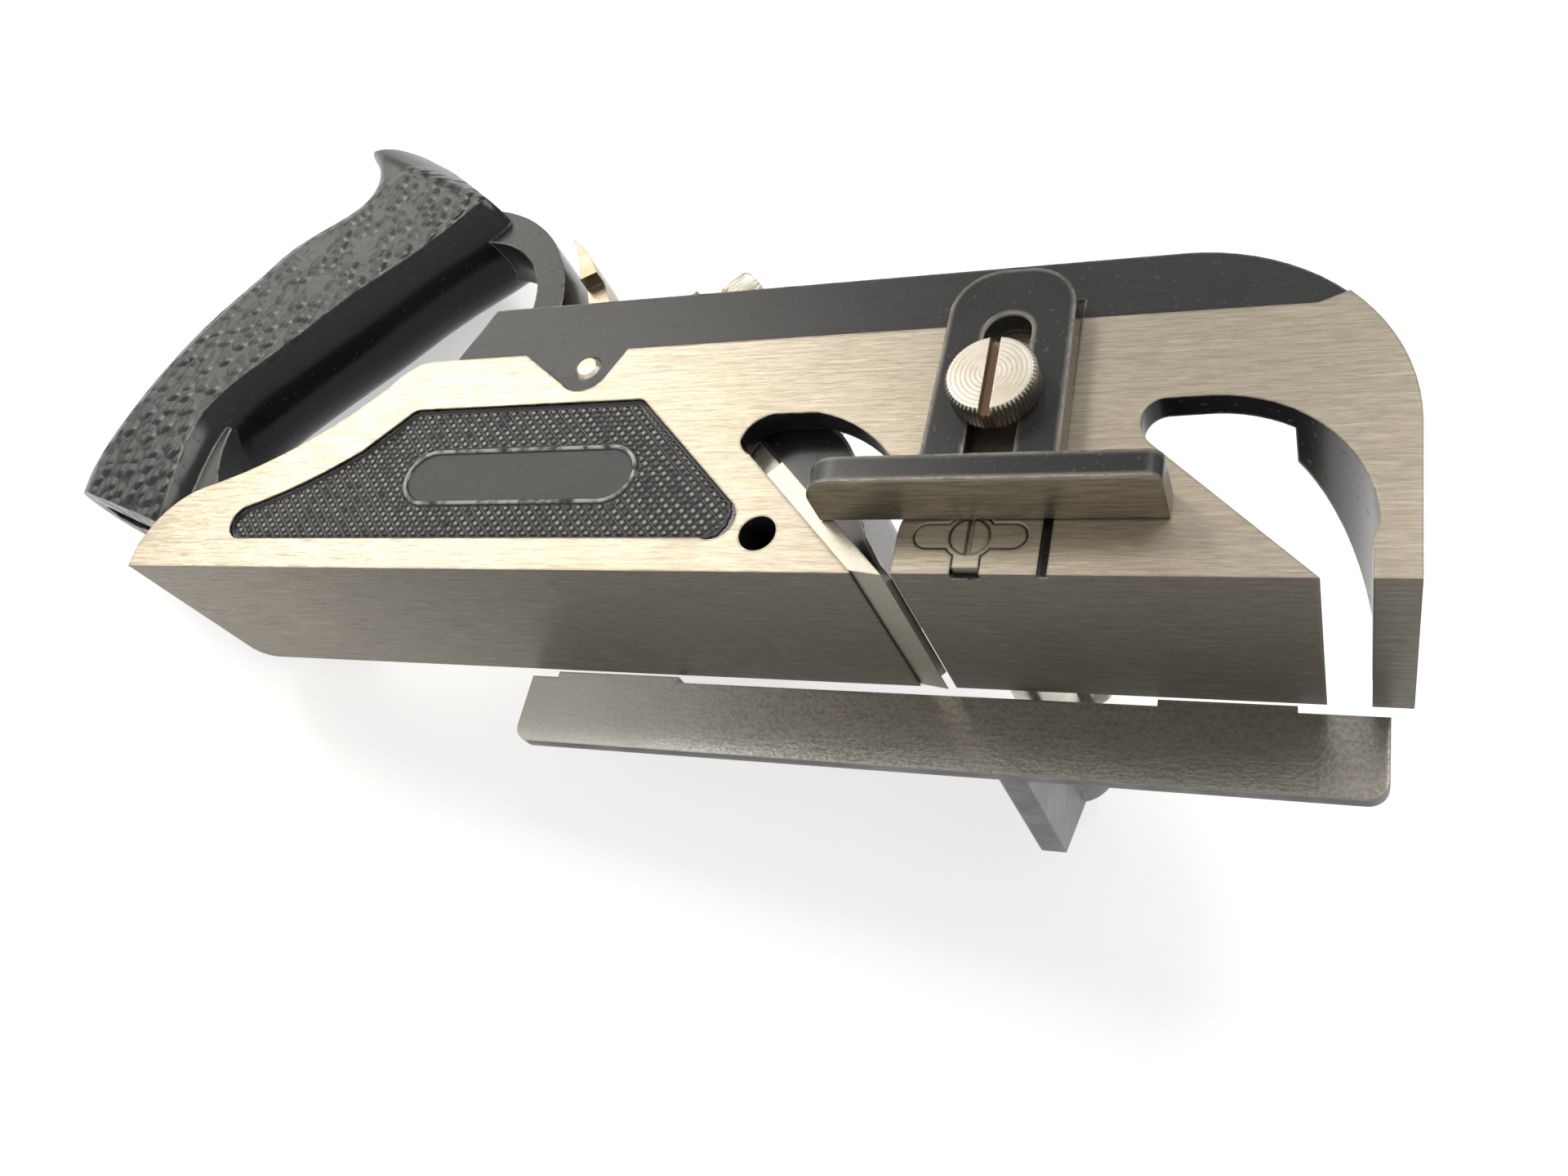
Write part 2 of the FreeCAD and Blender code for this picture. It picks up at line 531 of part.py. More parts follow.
def chord_sketch(body, label, name, shape, along=0):
    """A sketch across the handle: local x runs from the palm point to the ridge point."""
    palm_x, palm_z = size("palm_%s_x" % name), size("palm_%s_z" % name)
    ridge_x, ridge_z = size("ridge_%s_x" % name), size("ridge_%s_z" % name)
    sketch = new_sketch(body, TO_TOP, label, palm_z)
    tilt = math.degrees(math.atan2(palm_z.value - ridge_z.value, ridge_x.value - palm_x.value))
    turn = FreeCAD.Rotation(FreeCAD.Vector(0, 1, 0), tilt)
    corner = FreeCAD.Vector(palm_x.value, SIZES["handle_mid_y"], palm_z.value)
    sketch.AttachmentOffset = FreeCAD.Placement(corner, turn)
    sketch.setExpression("AttachmentOffset.Base.x", palm_x.text)
    sketch.setExpression("AttachmentOffset.Base.y", size("handle_mid_y").text)
    sketch.setExpression("AttachmentOffset.Base.z", palm_z.text)
    draw(sketch, shape)
    return sketch


def grip_section(body, name, tag):
    """Round palm, flat sides, ridges and a rounded finger side."""
    run_x = size("ridge_%s_x" % name) - "palm_%s_x" % name
    run_z = size("ridge_%s_z" % name) - "palm_%s_z" % name
    long_text = "sqrt(pow(%s; 2) + pow(%s; 2))" % (run_x.text, run_z.text)
    deep = Size(long_text, math.hypot(run_x.value, run_z.value))
    half = size("half_%s" % name)
    shape = [
        (deep, half, "handle_front_r", 1),
        (half, half),
        (half, -half, half * 1.02, 1),
        (deep, -half),
    ]
    return chord_sketch(body, "grip_%s_%s" % (name, tag), name, shape)


def add_loft(body, label, names):
    sections = [grip_section(body, name, label) for name in names]
    loft = body.newObject("PartDesign::AdditiveLoft", label)
    loft.Profile = sections[0]
    loft.Sections = sections[1:]
    body.Tip = loft
    return loft


# Handle, its horn, the hook and the web at the heel, all part of the casting
add_loft(casting, "grip", "abcdefghi")
add_loft(casting, "grip_cap", "ijk")
hook = [
    ("neck_rear_x", size("neck_base_z") - 1, "hook_inner_r", -1),
    ("neck_front_x", size("neck_base_z") - 1),
    ("hook_wrist_x", "hook_wrist_z"),
    ("hook_outer_x", "hook_outer_z", "hook_outer_r", 1),
    ("hook_root_x", size("hook_outer_z") - 1),
    ("hook_root_x", size("hook_inner_z") + 1.5),
    ("hook_inner_x", "hook_inner_z"),
]
add(casting, "hook", TO_SIDE, hook, -size("hook_right"), "hook_left")
web = [
    ("spine_heel_x", 1),
    (size("spine_heel_x") + 8, size("spine_heel_z") - 4),
    (size("spine_heel_x") + 8, size("spine_heel_z") + 1.5),
    (size("ridge_c_x") + 5, "ridge_c_z", 24, -1),
    (size("ridge_c_x") - 6, "ridge_c_z"),
    (size("ridge_a_x") - 7, size("ridge_a_z") + 2.5),
    (size("ridge_a_x") + 1, size("ridge_a_z") - 1),
]
add(casting, "heel_web", TO_SIDE, web, -size("web_right"), "web_left")
hollow = [
    (size("hollow_start") + "hollow_length", -0.8),
    (size("hollow_start") + "hollow_length", 0.8),
    ("hollow_start", "hollow_half"),
    ("hollow_start", -size("hollow_half"), size("hollow_half") * 1.02, 1),
]
hollow_sketch = chord_sketch(casting, "hollow_outline", "a", hollow)
end_hollow = casting.newObject("PartDesign::Pocket", "end_hollow")
end_hollow.Profile = hollow_sketch
end_hollow.Reversed = True
end_hollow.setExpression("Length", size("hollow_deep").text)
casting.Tip = end_hollow
PIVOT_UP = (size("bed_foot_x") - "pivot_x") * cosine("bed_angle") + size("pivot_z") * sine("bed_angle")
PIVOT_OUT = (size("pivot_x") - "bed_foot_x") * sine("bed_angle") + size("pivot_z") * cosine("bed_angle")
PIN_BOSS = circle("pivot_x", "pivot_z", "boss_r")
add(casting, "pin_boss", TO_SIDE, PIN_BOSS, WALL_INNER - 1, -size("spine_right") + 1)
ROOM = size("lever_room")
lever_room = [
    (size("pivot_x") - ROOM, size("pivot_z") - ROOM),
    (size("pivot_x") + ROOM, size("pivot_z") - ROOM),
    on_bed(PIVOT_UP - 6, 1),
    on_bed(size("rest_end") + 5, 1),
    ("spine_lever_x", size("spine_lever_z") + 4),
    (size("spine_lever_x") + 0.5, size("spine_lever_z") - 1),
]
SLOT_HALF = size("lever_half") + "lever_slot_gap"
cut(
    casting, "lever_slot", TO_SIDE, lever_room,
    size("lever_mid_y") - SLOT_HALF, size("lever_mid_y") + SLOT_HALF,
)
PIN_BORE = circle("pivot_x", "pivot_z", size("pin_r") + "run_gap")
cut(casting, "pin_bore", TO_SIDE, PIN_BORE, -HALF_WIDTH, "pin_end_y")
cap_bore = casting.newObject("PartDesign::SubtractiveCylinder", "cap_screw_bore")
cap_bore.setExpression("Radius", (size("cap_screw_r") + "run_gap").text)
cap_bore.setExpression("Height", (size("cap_screw_deep") + 6).text)
bore_x, bore_z = on_bed("cap_screw_place", -(size("cap_screw_deep") + 1))
bore_end = FreeCAD.Vector(bore_x.value, SIZES["cap_mid_y"], bore_z.value)
cap_bore.Placement = FreeCAD.Placement(bore_end, bed_rotation())
casting.Tip = cap_bore
set_in_frame(casting)


def drill(body, label, x, y, radius, low, high):
    """A round hole along local Z."""
    cut(body, label, TO_TOP, circle(x, y, radius), low, high)


# Cutter, drawn lying on the bed: local X up the bed, local Y to the user's right
cutter = new_body("cutter")
CUTTER_OUT = size("cutter_gap") + "cutter_thick"
EDGE_UP = -(size("cutter_proud") / sine("bed_angle")) - CUTTER_OUT / tangent("bed_angle")
CUTTER_TOP = size("cutter_top")
ROUND = size("cutter_round")
SIDE = size("cutter_side_y")
blade = [
    (EDGE_UP, -HALF_WIDTH),
    (EDGE_UP, HALF_WIDTH),
    ("cutter_shoulder", HALF_WIDTH),
    (size("cutter_shoulder") + 3, SIDE),
    (CUTTER_TOP - ROUND, SIDE),
    (CUTTER_TOP, SIDE - ROUND, ROUND, -1),
    (CUTTER_TOP, ROUND - HALF_WIDTH),
    (CUTTER_TOP - ROUND, -HALF_WIDTH, ROUND, -1),
]
add(cutter, "blade", TO_TOP, blade, "cutter_gap", CUTTER_OUT)
OVER = size("overcut")
bevel = [
    (EDGE_UP, CUTTER_OUT),
    (EDGE_UP - OVER, CUTTER_OUT),
    (EDGE_UP - OVER, -OVER),
    (EDGE_UP + (CUTTER_OUT + OVER) / tangent("bevel_angle"), -OVER),
]
cut(cutter, "bevel", TO_SIDE, bevel, -HALF_WIDTH, HALF_WIDTH)
CAP_Y = -size("cap_mid_y")
HOLE_HALF = size("cutter_slot_width") / 2
cutter_slot = [
    (size("cutter_slot_high") - HOLE_HALF, CAP_Y - HOLE_HALF),
    ("cutter_slot_high", CAP_Y, HOLE_HALF, 1),
    (size("cutter_slot_high") - HOLE_HALF, CAP_Y + HOLE_HALF, HOLE_HALF, 1),
    (size("cutter_slot_low") + HOLE_HALF, CAP_Y + HOLE_HALF),
    ("cutter_slot_low", CAP_Y, HOLE_HALF, 1),
    (size("cutter_slot_low") + HOLE_HALF, CAP_Y - HOLE_HALF, HOLE_HALF, 1),
]
cut(cutter, "screw_slot", TO_TOP, cutter_slot, 0, CUTTER_OUT)
GROOVE_HALF = size("rack_width") / 2
RACK_LOW = PIVOT_UP - "rack_below"
groove = bar(RACK_LOW - GROOVE_HALF, RACK_LOW + GROOVE_HALF, 0, size("cutter_gap") + "rack_deep")
first_groove = cut(cutter, "rack_groove", TO_SIDE, groove, -HALF_WIDTH, HALF_WIDTH)
rack = cutter.newObject("PartDesign::LinearPattern", "rack")
rack.Originals = [first_groove]
rack.Direction = ([item for item in cutter.Origin.OriginFeatures if item.Role == "X_Axis"][0], [""])
rack.setExpression("Length", (size("rack_pitch") * (size("rack_count") - 1)).text)
rack.setExpression("Occurrences", size("rack_count").text)
cutter.Tip = rack
set_on_bed(cutter)

# Lever cap: a hollow cast wedge with a keyhole for its screw
cap = new_body("lever_cap")
CAP_LOW = CUTTER_OUT + "cap_gap"
CAP_TOE = -size("cap_toe")
cap_side = [
    (CAP_TOE, CAP_LOW),
    ("cap_end", CAP_LOW),
    ("cap_end", "cap_end_high"),
    ("cap_high_at", "cap_high"),
    ("cap_swell", "cap_swell_high", 14, 1),
    (size("cap_heel") + 1, CAP_LOW + size("cap_toe_thick") + 1.3),
    (CAP_TOE + 3, CAP_LOW + "cap_toe_thick"),
    (CAP_TOE, CAP_LOW + "cap_toe_thick"),
]
add(cap, "cap_block", TO_SIDE, cap_side, -size("cap_left"), "cap_right")
CAP_END = size("cap_end") + OVER
left_taper = [
    ("cap_taper", -size("cap_left")),
    ("cap_taper", -size("cap_left") - OVER),
    (CAP_END, -size("cap_left") - OVER),
    (CAP_END, CAP_Y - "cap_end_half"),
    (size("cap_end") - 12, CAP_Y - "cap_end_half"),
]
cut(cap, "left_taper", TO_TOP, left_taper, 0, size("cap_high") + OVER)
CAP_WALL = size("cap_hollow")
end_round = [
    (CAP_END, CAP_Y - "cap_end_half" - OVER),
    (CAP_END, CAP_Y + "cap_end_half" + OVER),
    (size("cap_end") - 7, CAP_Y + "cap_end_half" + OVER),
    (size("cap_end") - 7, CAP_Y + "cap_end_half"),
    ("cap_end", CAP_Y, size("cap_end_half") * 1.2, -1),
    (size("cap_end") - 7, CAP_Y - "cap_end_half", size("cap_end_half") * 1.2, -1),
    (size("cap_end") - 7, CAP_Y - "cap_end_half" - OVER),
]
cut(cap, "end_round", TO_TOP, end_round, 0, size("cap_high") + OVER)
hollow_low = [
    (size("cap_heel") + 1, 0),
    (size("cap_end") - 10, 0),
    (size("cap_end") - 10, size("cap_end_high") - CAP_WALL),
    (size("cap_high_at"), size("cap_high") - CAP_WALL),
    (size("cap_swell") + 2, size("cap_swell_high") - CAP_WALL),
    (size("cap_heel") + 3, CAP_LOW + 1),
]
cut(cap, "cap_hollow", TO_SIDE, hollow_low, CAP_Y - 7, CAP_Y + 7)
KEY_UP = size("cap_screw_place")
KEY_LOW = KEY_UP - "cap_slot_travel"
drill(cap, "key_hole", KEY_LOW, CAP_Y, size("cap_screw_head_r") + 0.3, 0, size("cap_high") + OVER)
KEY_HALF = size("cap_screw_r") + 0.2
key_slot = [
    (KEY_LOW, CAP_Y - KEY_HALF),
    (KEY_UP, CAP_Y - KEY_HALF),
    (KEY_UP + KEY_HALF, CAP_Y, KEY_HALF, 1),
    (KEY_UP, CAP_Y + KEY_HALF, KEY_HALF, 1),
    (KEY_LOW, CAP_Y + KEY_HALF),
]
cut(cap, "key_slot", TO_TOP, key_slot, 0, size("cap_high") + OVER)
drill(cap, "thumb_bore", "thumb_place", CAP_Y, size("thumb_r") + "run_gap", 0, size("cap_high") + OVER)
set_on_bed(cap)


def turned(label, profile):
    """A piece turned about local Z from a profile of radius and height."""
    body = new_body(label)
    sketch = new_sketch(body, TO_SIDE, label + "_profile", 0)
    draw(sketch, profile)
    feature = body.newObject("PartDesign::Revolution", label + "_turning")
    feature.Profile = sketch
    upright = [item for item in body.Origin.OriginFeatures if item.Role == "Z_Axis"][0]
    feature.ReferenceAxis = (upright, [""])
    feature.Angle = 360
    body.Tip = feature
    return body


def head_profile(shaft_r, shaft_low, neck_r, neck_low, head_r, head_low, head_top, edge):
    """Half outline of a knurled screw: shaft, neck and a head with eased edges."""
    return [
        (0, shaft_low),
        (size(shaft_r) - 0.4, shaft_low),
        (shaft_r, size(shaft_low) + 0.4),
        (shaft_r, neck_low),
        (neck_r, neck_low),
        (neck_r, head_low),
        (size(head_r) - edge, head_low),
        (head_r, size(head_low) + edge),
        (head_r, size(head_top) - edge),
        (size(head_r) - edge, head_top),
        (0, head_top),
    ]


def slit(body, label, low, high, half_length):
    """A screwdriver slot across the top of a turned piece."""
    half = size("head_slot") / 2
    reach = size(half_length)
    cut(body, label, TO_TOP, bar(-half, half, -reach, reach), low, high)


def set_along(body, axis, x, y, z):
    """Places a turned piece with its local Z along an axis of the frame."""
    turn = FreeCAD.Rotation(FreeCAD.Vector(0, 0, 1), FreeCAD.Vector(*axis))
    body.Placement = FreeCAD.Placement(FreeCAD.Vector(0, 0, 0), turn)
    body.setExpression("Placement.Base.x", (size(x) - BACK_HALF).text)
    body.setExpression("Placement.Base.y", size(y).text)
    body.setExpression("Placement.Base.z", size(z).text)


BED_OUT = (math.sin(math.radians(SIZES["bed_angle"])), 0, math.cos(math.radians(SIZES["bed_angle"])))

# Screw that the lever cap hooks under
HEAD_LOW = size("cap_high") + "seat_gap"
screw_profile = head_profile(
    "cap_screw_r", -size("cap_screw_deep"), size("cap_screw_r") - 0.05, HEAD_LOW - 2,
    "cap_screw_head_r", HEAD_LOW, HEAD_LOW + "cap_screw_head", 0.5,
)
cap_screw = turned("lever_cap_screw", screw_profile)
SCREW_TOP = HEAD_LOW + "cap_screw_head"
slit(cap_screw, "driver_slot", SCREW_TOP - 1.3, SCREW_TOP, "cap_screw_head_r")
screw_x, screw_z = on_bed("cap_screw_place", 0)
set_along(cap_screw, BED_OUT, screw_x, "cap_mid_y", screw_z)

# Knurled screw that tightens the lever cap
thumb_profile = head_profile(
    "thumb_r", CUTTER_OUT + 0.05, "thumb_collar_r", "thumb_collar_low",
    "thumb_head_r", size("thumb_top") - "thumb_head", "thumb_top", 0.8,
)
cap_thumb = turned("lever_cap_thumbscrew", thumb_profile)
thumb_x, thumb_z = on_bed("thumb_place", 0)
set_along(cap_thumb, BED_OUT, thumb_x, "cap_mid_y", thumb_z)

# Adjusting lever with a tooth that works in the cutter's rack
lever = new_body("adjusting_lever")
LEVER_RIGHT = size("lever_mid_y") - "lever_half"
LEVER_LEFT = size("lever_mid_y") + "lever_half"
KNEE = 2.3
arm = [
    ("lever_foot_x", size("lever_foot_z") - 5),
    (size("pivot_x") + 4, size("pivot_z") + 2.4),
    (size("lever_knee_x") + KNEE, size("lever_knee_z") + 1.2),
    (size("lever_bend_x") + size("lever_thick") / 2, size("lever_bend_z") + 0.8),
    ("lever_tip_x", "lever_tip_z", "lever_curl", 1),
    (size("lever_bend_x") - size("lever_thick") / 2, size("lever_bend_z") - 0.8, "lever_curl", -1),
    (size("lever_knee_x") - KNEE, size("lever_knee_z") - 1.2),
]
add(lever, "arm", TO_SIDE, arm, LEVER_RIGHT, LEVER_LEFT)
add(lever, "ring", TO_SIDE, circle("pivot_x", "pivot_z", "lever_ring_r"), LEVER_RIGHT, LEVER_LEFT)
TOOTH = size("cutter_gap") + "lever_bite"
TOOTH_HALF = size("lever_tooth_half")
tooth = [
    on_bed(PIVOT_UP + 3, PIVOT_OUT),
    on_bed(PIVOT_UP - 3, PIVOT_OUT),
    on_bed(PIVOT_UP - 2.4, PIVOT_OUT + 8.5),
    on_bed(PIVOT_UP - TOOTH_HALF, -0.8),
    on_bed(PIVOT_UP - TOOTH_HALF, TOOTH),
    on_bed(PIVOT_UP + TOOTH_HALF, TOOTH),
    on_bed(PIVOT_UP + TOOTH_HALF, -0.8),
    on_bed(PIVOT_UP + 2.4, PIVOT_OUT + 8.5),
]
add(lever, "tooth", TO_SIDE, tooth, LEVER_RIGHT, LEVER_LEFT)
pad = arm[3:6]
PAD = size("lever_pad_half")
add(lever, "thumb_pad", TO_SIDE, pad, size("lever_mid_y") - PAD, size("lever_mid_y") + PAD)
LEVER_BORE = circle("pivot_x", "pivot_z", size("pin_r") + "run_gap")
cut(lever, "lever_bore", TO_SIDE, LEVER_BORE, LEVER_RIGHT, LEVER_LEFT)
set_in_frame(lever)

# Pin on which the adjusting lever turns
PIN_LONG = size("pin_end_y") - 0.2 + HALF_WIDTH
pin = turned("adjusting_lever_pin", [
    (0, -PIN_LONG),
    ("pin_r", -PIN_LONG),
    ("pin_r", -0.6),
    (size("pin_r") - 0.6, 0),
    (0, 0),
])
set_along(pin, (0, -1, 0), "pivot_x", -HALF_WIDTH, "pivot_z")

# Depth stop: slotted plate, foot and a guide rib
stop = new_body("depth_stop")
STOP_BACK = -HALF_WIDTH - "stop_gap"
STOP_FRONT = STOP_BACK - "stop_thick"
STOP_HALF = size("stop_width") / 2
STOP_ROUND = size(7.5)
FOOT_TOP = size("foot_bottom") + "foot_thick"
plate = [
    (size("stop_x") + STOP_HALF + 0.6, FOOT_TOP - 1),
    (size("stop_x") + STOP_HALF, size("stop_top") - STOP_ROUND),
    (size("stop_x") + STOP_HALF - STOP_ROUND, "stop_top", STOP_ROUND, 1),
    (size("stop_x") - STOP_HALF + STOP_ROUND, "stop_top"),
    (size("stop_x") - STOP_HALF, size("stop_top") - STOP_ROUND, STOP_ROUND, 1),
    (size("stop_x") - STOP_HALF - 0.6, FOOT_TOP - 1),
]
add(stop, "plate", TO_SIDE, plate, STOP_FRONT, STOP_BACK)
FOOT_HALF = size("foot_length") / 2
FOOT_FRONT = STOP_BACK - "foot_deep"
FOOT_ROUND = size("foot_round")
foot = [
    (size("stop_x") + FOOT_HALF, STOP_BACK),
    (size("stop_x") - FOOT_HALF, STOP_BACK),
    (size("stop_x") - FOOT_HALF, FOOT_FRONT + FOOT_ROUND),
    (size("stop_x") - FOOT_HALF + FOOT_ROUND, FOOT_FRONT, FOOT_ROUND, 1),
    (size("stop_x") + FOOT_HALF - 2, FOOT_FRONT),
    (size("stop_x") + FOOT_HALF, FOOT_FRONT + 2, 2, 1),
]
add(stop, "foot", TO_TOP, foot, "foot_bottom", FOOT_TOP)
GUSSET = size("gusset")
gusset = [
    (STOP_BACK, FOOT_TOP - 1),
    (STOP_BACK, FOOT_TOP + GUSSET),
    (STOP_FRONT, FOOT_TOP + GUSSET),
    (STOP_FRONT - GUSSET, FOOT_TOP, GUSSET, -1),
    (STOP_FRONT - GUSSET, FOOT_TOP - 1),
]
add(stop, "gusset", TO_FRONT, gusset, size("stop_x") - STOP_HALF, size("stop_x") + STOP_HALF)
STOP_SLOT = size("stop_slot") / 2
slot = [
    (size("stop_x") + STOP_SLOT, FOOT_TOP + 0.4),
    (size("stop_x") + STOP_SLOT, size("stop_slot_top") - STOP_SLOT),
    ("stop_x", "stop_slot_top", STOP_SLOT, 1),
    (size("stop_x") - STOP_SLOT, size("stop_slot_top") - STOP_SLOT, STOP_SLOT, 1),
    (size("stop_x") - STOP_SLOT, FOOT_TOP + 0.4),
]
cut(stop, "slot", TO_SIDE, slot, FOOT_FRONT, STOP_BACK)
RIB_HALF = GUIDE_HALF - 0.15
rib = bar(size("guide_x") - RIB_HALF, size("guide_x") + RIB_HALF, "rib_low", "rib_high")
add(stop, "rib", TO_SIDE, rib, STOP_BACK - 1, -HALF_WIDTH + "guide_deep" - 0.2)
set_in_frame(stop)

# Screw that clamps the depth stop
STOP_HEAD_LOW = size("stop_gap") + "stop_thick" + "seat_gap"
stop_profile = head_profile(
    "stop_screw_r", -size("wall_thick") + 0.2, size("stop_screw_r") + 0.6, STOP_HEAD_LOW - 1.5,
    "stop_head_r", STOP_HEAD_LOW, STOP_HEAD_LOW + "stop_head", 0.6,
)
stop_screw = turned("depth_stop_thumbscrew", stop_profile)
STOP_HEAD_TOP = STOP_HEAD_LOW + "stop_head"
slit(stop_screw, "coin_slot", STOP_HEAD_TOP - "head_slot_deep", STOP_HEAD_TOP, "stop_head_r")
set_along(stop_screw, (0, -1, 0), "stop_x", -HALF_WIDTH, "stop_screw_z")

# Spur: a flat three-lobed blade let into the side, one lobe ground to a scoring point
spur = new_body("spur")
SPUR_BACK = -HALF_WIDTH + "spur_thick"
SPUR_HALF = size("spur_lobe") / 2
add(spur, "level_lobes", TO_SIDE, lobe_pair("spur_reach", "spur_reach", SPUR_HALF), -HALF_WIDTH, SPUR_BACK)
upright = lobe_upright(size("spur_z") - "spur_blank", "spur_reach", SPUR_HALF)
add(spur, "upright_lobe", TO_SIDE, upright, -HALF_WIDTH, SPUR_BACK)
add(spur, "hub", TO_SIDE, circle("spur_x", "spur_z", "spur_hub_r"), -HALF_WIDTH, SPUR_BACK)
HEAD_SEAT = circle("spur_x", "spur_z", size("spur_head_r") + "run_gap")
cut(spur, "head_seat", TO_SIDE, HEAD_SEAT, -HALF_WIDTH, -HALF_WIDTH + "spur_head" + 0.1)
SHAFT_HOLE = circle("spur_x", "spur_z", size("spur_screw_r") + "run_gap")
cut(spur, "shaft_hole", TO_SIDE, SHAFT_HOLE, -HALF_WIDTH, SPUR_BACK)
set_in_frame(spur)

# Screw that holds the spur
spur_screw = turned("spur_screw", [
    (0, -size("spur_screw_deep")),
    ("spur_screw_r", -size("spur_screw_deep")),
    ("spur_screw_r", -size("spur_head")),
    ("spur_head_r", -size("spur_head")),
    ("spur_head_r", -0.25),
    (size("spur_head_r") - 0.25, 0),
    (0, 0),
])
SPUR_SLIT = bar(-0.4, 0.4, -size("spur_head_r"), "spur_head_r")
cut(spur_screw, "spur_driver_slot", TO_TOP, SPUR_SLIT, -0.6, 0)
set_along(spur_screw, (0, -1, 0), "spur_x", -HALF_WIDTH, "spur_z")

# Fence: guide plate, two bearing pads, web and the boss that rides on the arm
fence = new_body("fence")
FENCE_LEFT = size("fence_face_y") + "fence_thick"
FENCE_LOW = -size("fence_bottom")
FENCE_TOP = -size("fence_top_gap")
FENCE_ROUND = size("fence_round")
FENCE_FRONT_X = TOE - "fence_front_back"
fence_plate = [
    (FENCE_FRONT_X, FENCE_TOP),
    ("fence_rear_x", FENCE_TOP),
    ("fence_rear_x", FENCE_LOW + FENCE_ROUND),
    (size("fence_rear_x") + FENCE_ROUND, FENCE_LOW, FENCE_ROUND, 1),
    (FENCE_FRONT_X - FENCE_ROUND, FENCE_LOW),
    (FENCE_FRONT_X, FENCE_LOW + FENCE_ROUND, FENCE_ROUND, 1),
]
add(fence, "guide_plate", TO_SIDE, fence_plate, "fence_face_y", FENCE_LEFT)
PAD_TOP = -size("fence_pad_gap")
rear_pad = bar("pad_rear_x", size("pad_rear_x") + "pad_rear_length", FENCE_TOP - 1, PAD_TOP)
PAD_FRONT_X = TOE - "pad_front_back"
front_pad = bar(PAD_FRONT_X, PAD_FRONT_X + "pad_front_length", FENCE_TOP - 1, PAD_TOP)
add(fence, "rear_pad", TO_SIDE, rear_pad, "fence_face_y", FENCE_LEFT)
add(fence, "front_pad", TO_SIDE, front_pad, "fence_face_y", FENCE_LEFT)
web_outline = [
    (FENCE_LEFT - 1, FENCE_LOW),
    ("web_end_y", FENCE_LOW),
    ("boss_end_y", 0),
    ("boss_end_y", size("arm_z") - "fence_boss_r" + 2),
    ("boss_start_y", size("arm_z") - "fence_boss_r" + 2),
    ("boss_start_y", FENCE_TOP),
    (FENCE_LEFT - 1, FENCE_TOP),
]
WEB_HALF = size("web_thick") / 2
add(fence, "web", TO_FRONT, web_outline, size("arm_x") - WEB_HALF, size("arm_x") + WEB_HALF)
add(fence, "arm_boss", TO_SIDE, circle("arm_x", "arm_z", "fence_boss_r"), "boss_start_y", "boss_end_y")
BOSS_BORE = circle("arm_x", "arm_z", size("arm_r") + "run_gap")
cut(fence, "arm_bore", TO_SIDE, BOSS_BORE, "boss_start_y", "boss_end_y")
SCREW_FLAT = size("arm_z") + "fence_boss_r" + 0.8
drill_pad = circle("arm_x", "fence_screw_y", 5)
add(fence, "screw_pad", TO_TOP, drill_pad, size("arm_z") + "arm_r" + 0.5, SCREW_FLAT)
drill(fence, "screw_bore", "arm_x", "fence_screw_y", size("fence_screw_r") + "run_gap", "arm_z", SCREW_FLAT)
set_in_frame(fence)

# Arm screwed into the body's left side, with a tommy hole near its outer end
ARM_LONG = size("arm_end_y") - HALF_WIDTH
arm_rod = turned("fence_arm", [
    (0, -size("arm_thread")),
    (size("arm_thread_r") - 0.5, -size("arm_thread")),
    ("arm_thread_r", -size("arm_thread") + 0.5),
    ("arm_thread_r", "seat_gap"),
    ("arm_r", "seat_gap"),
    ("arm_r", ARM_LONG - 1),
    (size("arm_r") - 1, ARM_LONG),
    (0, ARM_LONG),
])
ARM_HOLE = size("arm_hole_y") - HALF_WIDTH
cut(arm_rod, "tommy_hole", TO_FRONT, circle(0, ARM_HOLE, "arm_hole_r"), -size("arm_r"), "arm_r")
set_along(arm_rod, (0, 1, 0), "arm_x", HALF_WIDTH, "arm_z")

# Knurled screw that clamps the fence on the arm
FENCE_HEAD_LOW = size("fence_boss_r") + 0.8 + "fence_neck"
fence_profile = head_profile(
    "fence_screw_r", size("arm_r") + 0.1, "fence_neck_r", size("fence_boss_r") + 0.9,
    "thumb_head_r", FENCE_HEAD_LOW, FENCE_HEAD_LOW + "thumb_head", 0.8,
)
fence_screw = turned("fence_thumbscrew", fence_profile)
set_along(fence_screw, (0, 0, 1), "arm_x", "fence_screw_y", "arm_z")

doc.recompute()
os.makedirs("parts", exist_ok=True)
for item in doc.Objects:
    if "Invalid" in item.State or "Error" in item.State:
        raise ValueError(item.Name + " is invalid")
for part in parts:
    shape = part.Shape
    if shape.isNull() or not shape.isValid() or len(shape.Solids) != 1:
        raise ValueError("%s is not one sound solid (%d)" % (part.Label, len(shape.Solids)))
    shape.exportStep("parts/%s.step" % part.Label)
    box = shape.BoundBox
    extents = (part.Label, box.XMin, box.XMax, box.YMin, box.YMax, box.ZMin, box.ZMax, shape.Volume)
    print("%s X %.1f..%.1f Y %.1f..%.1f Z %.1f..%.1f volume %.0f" % extents)
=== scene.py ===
import bpy
from math import radians
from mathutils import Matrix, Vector
import numpy as np


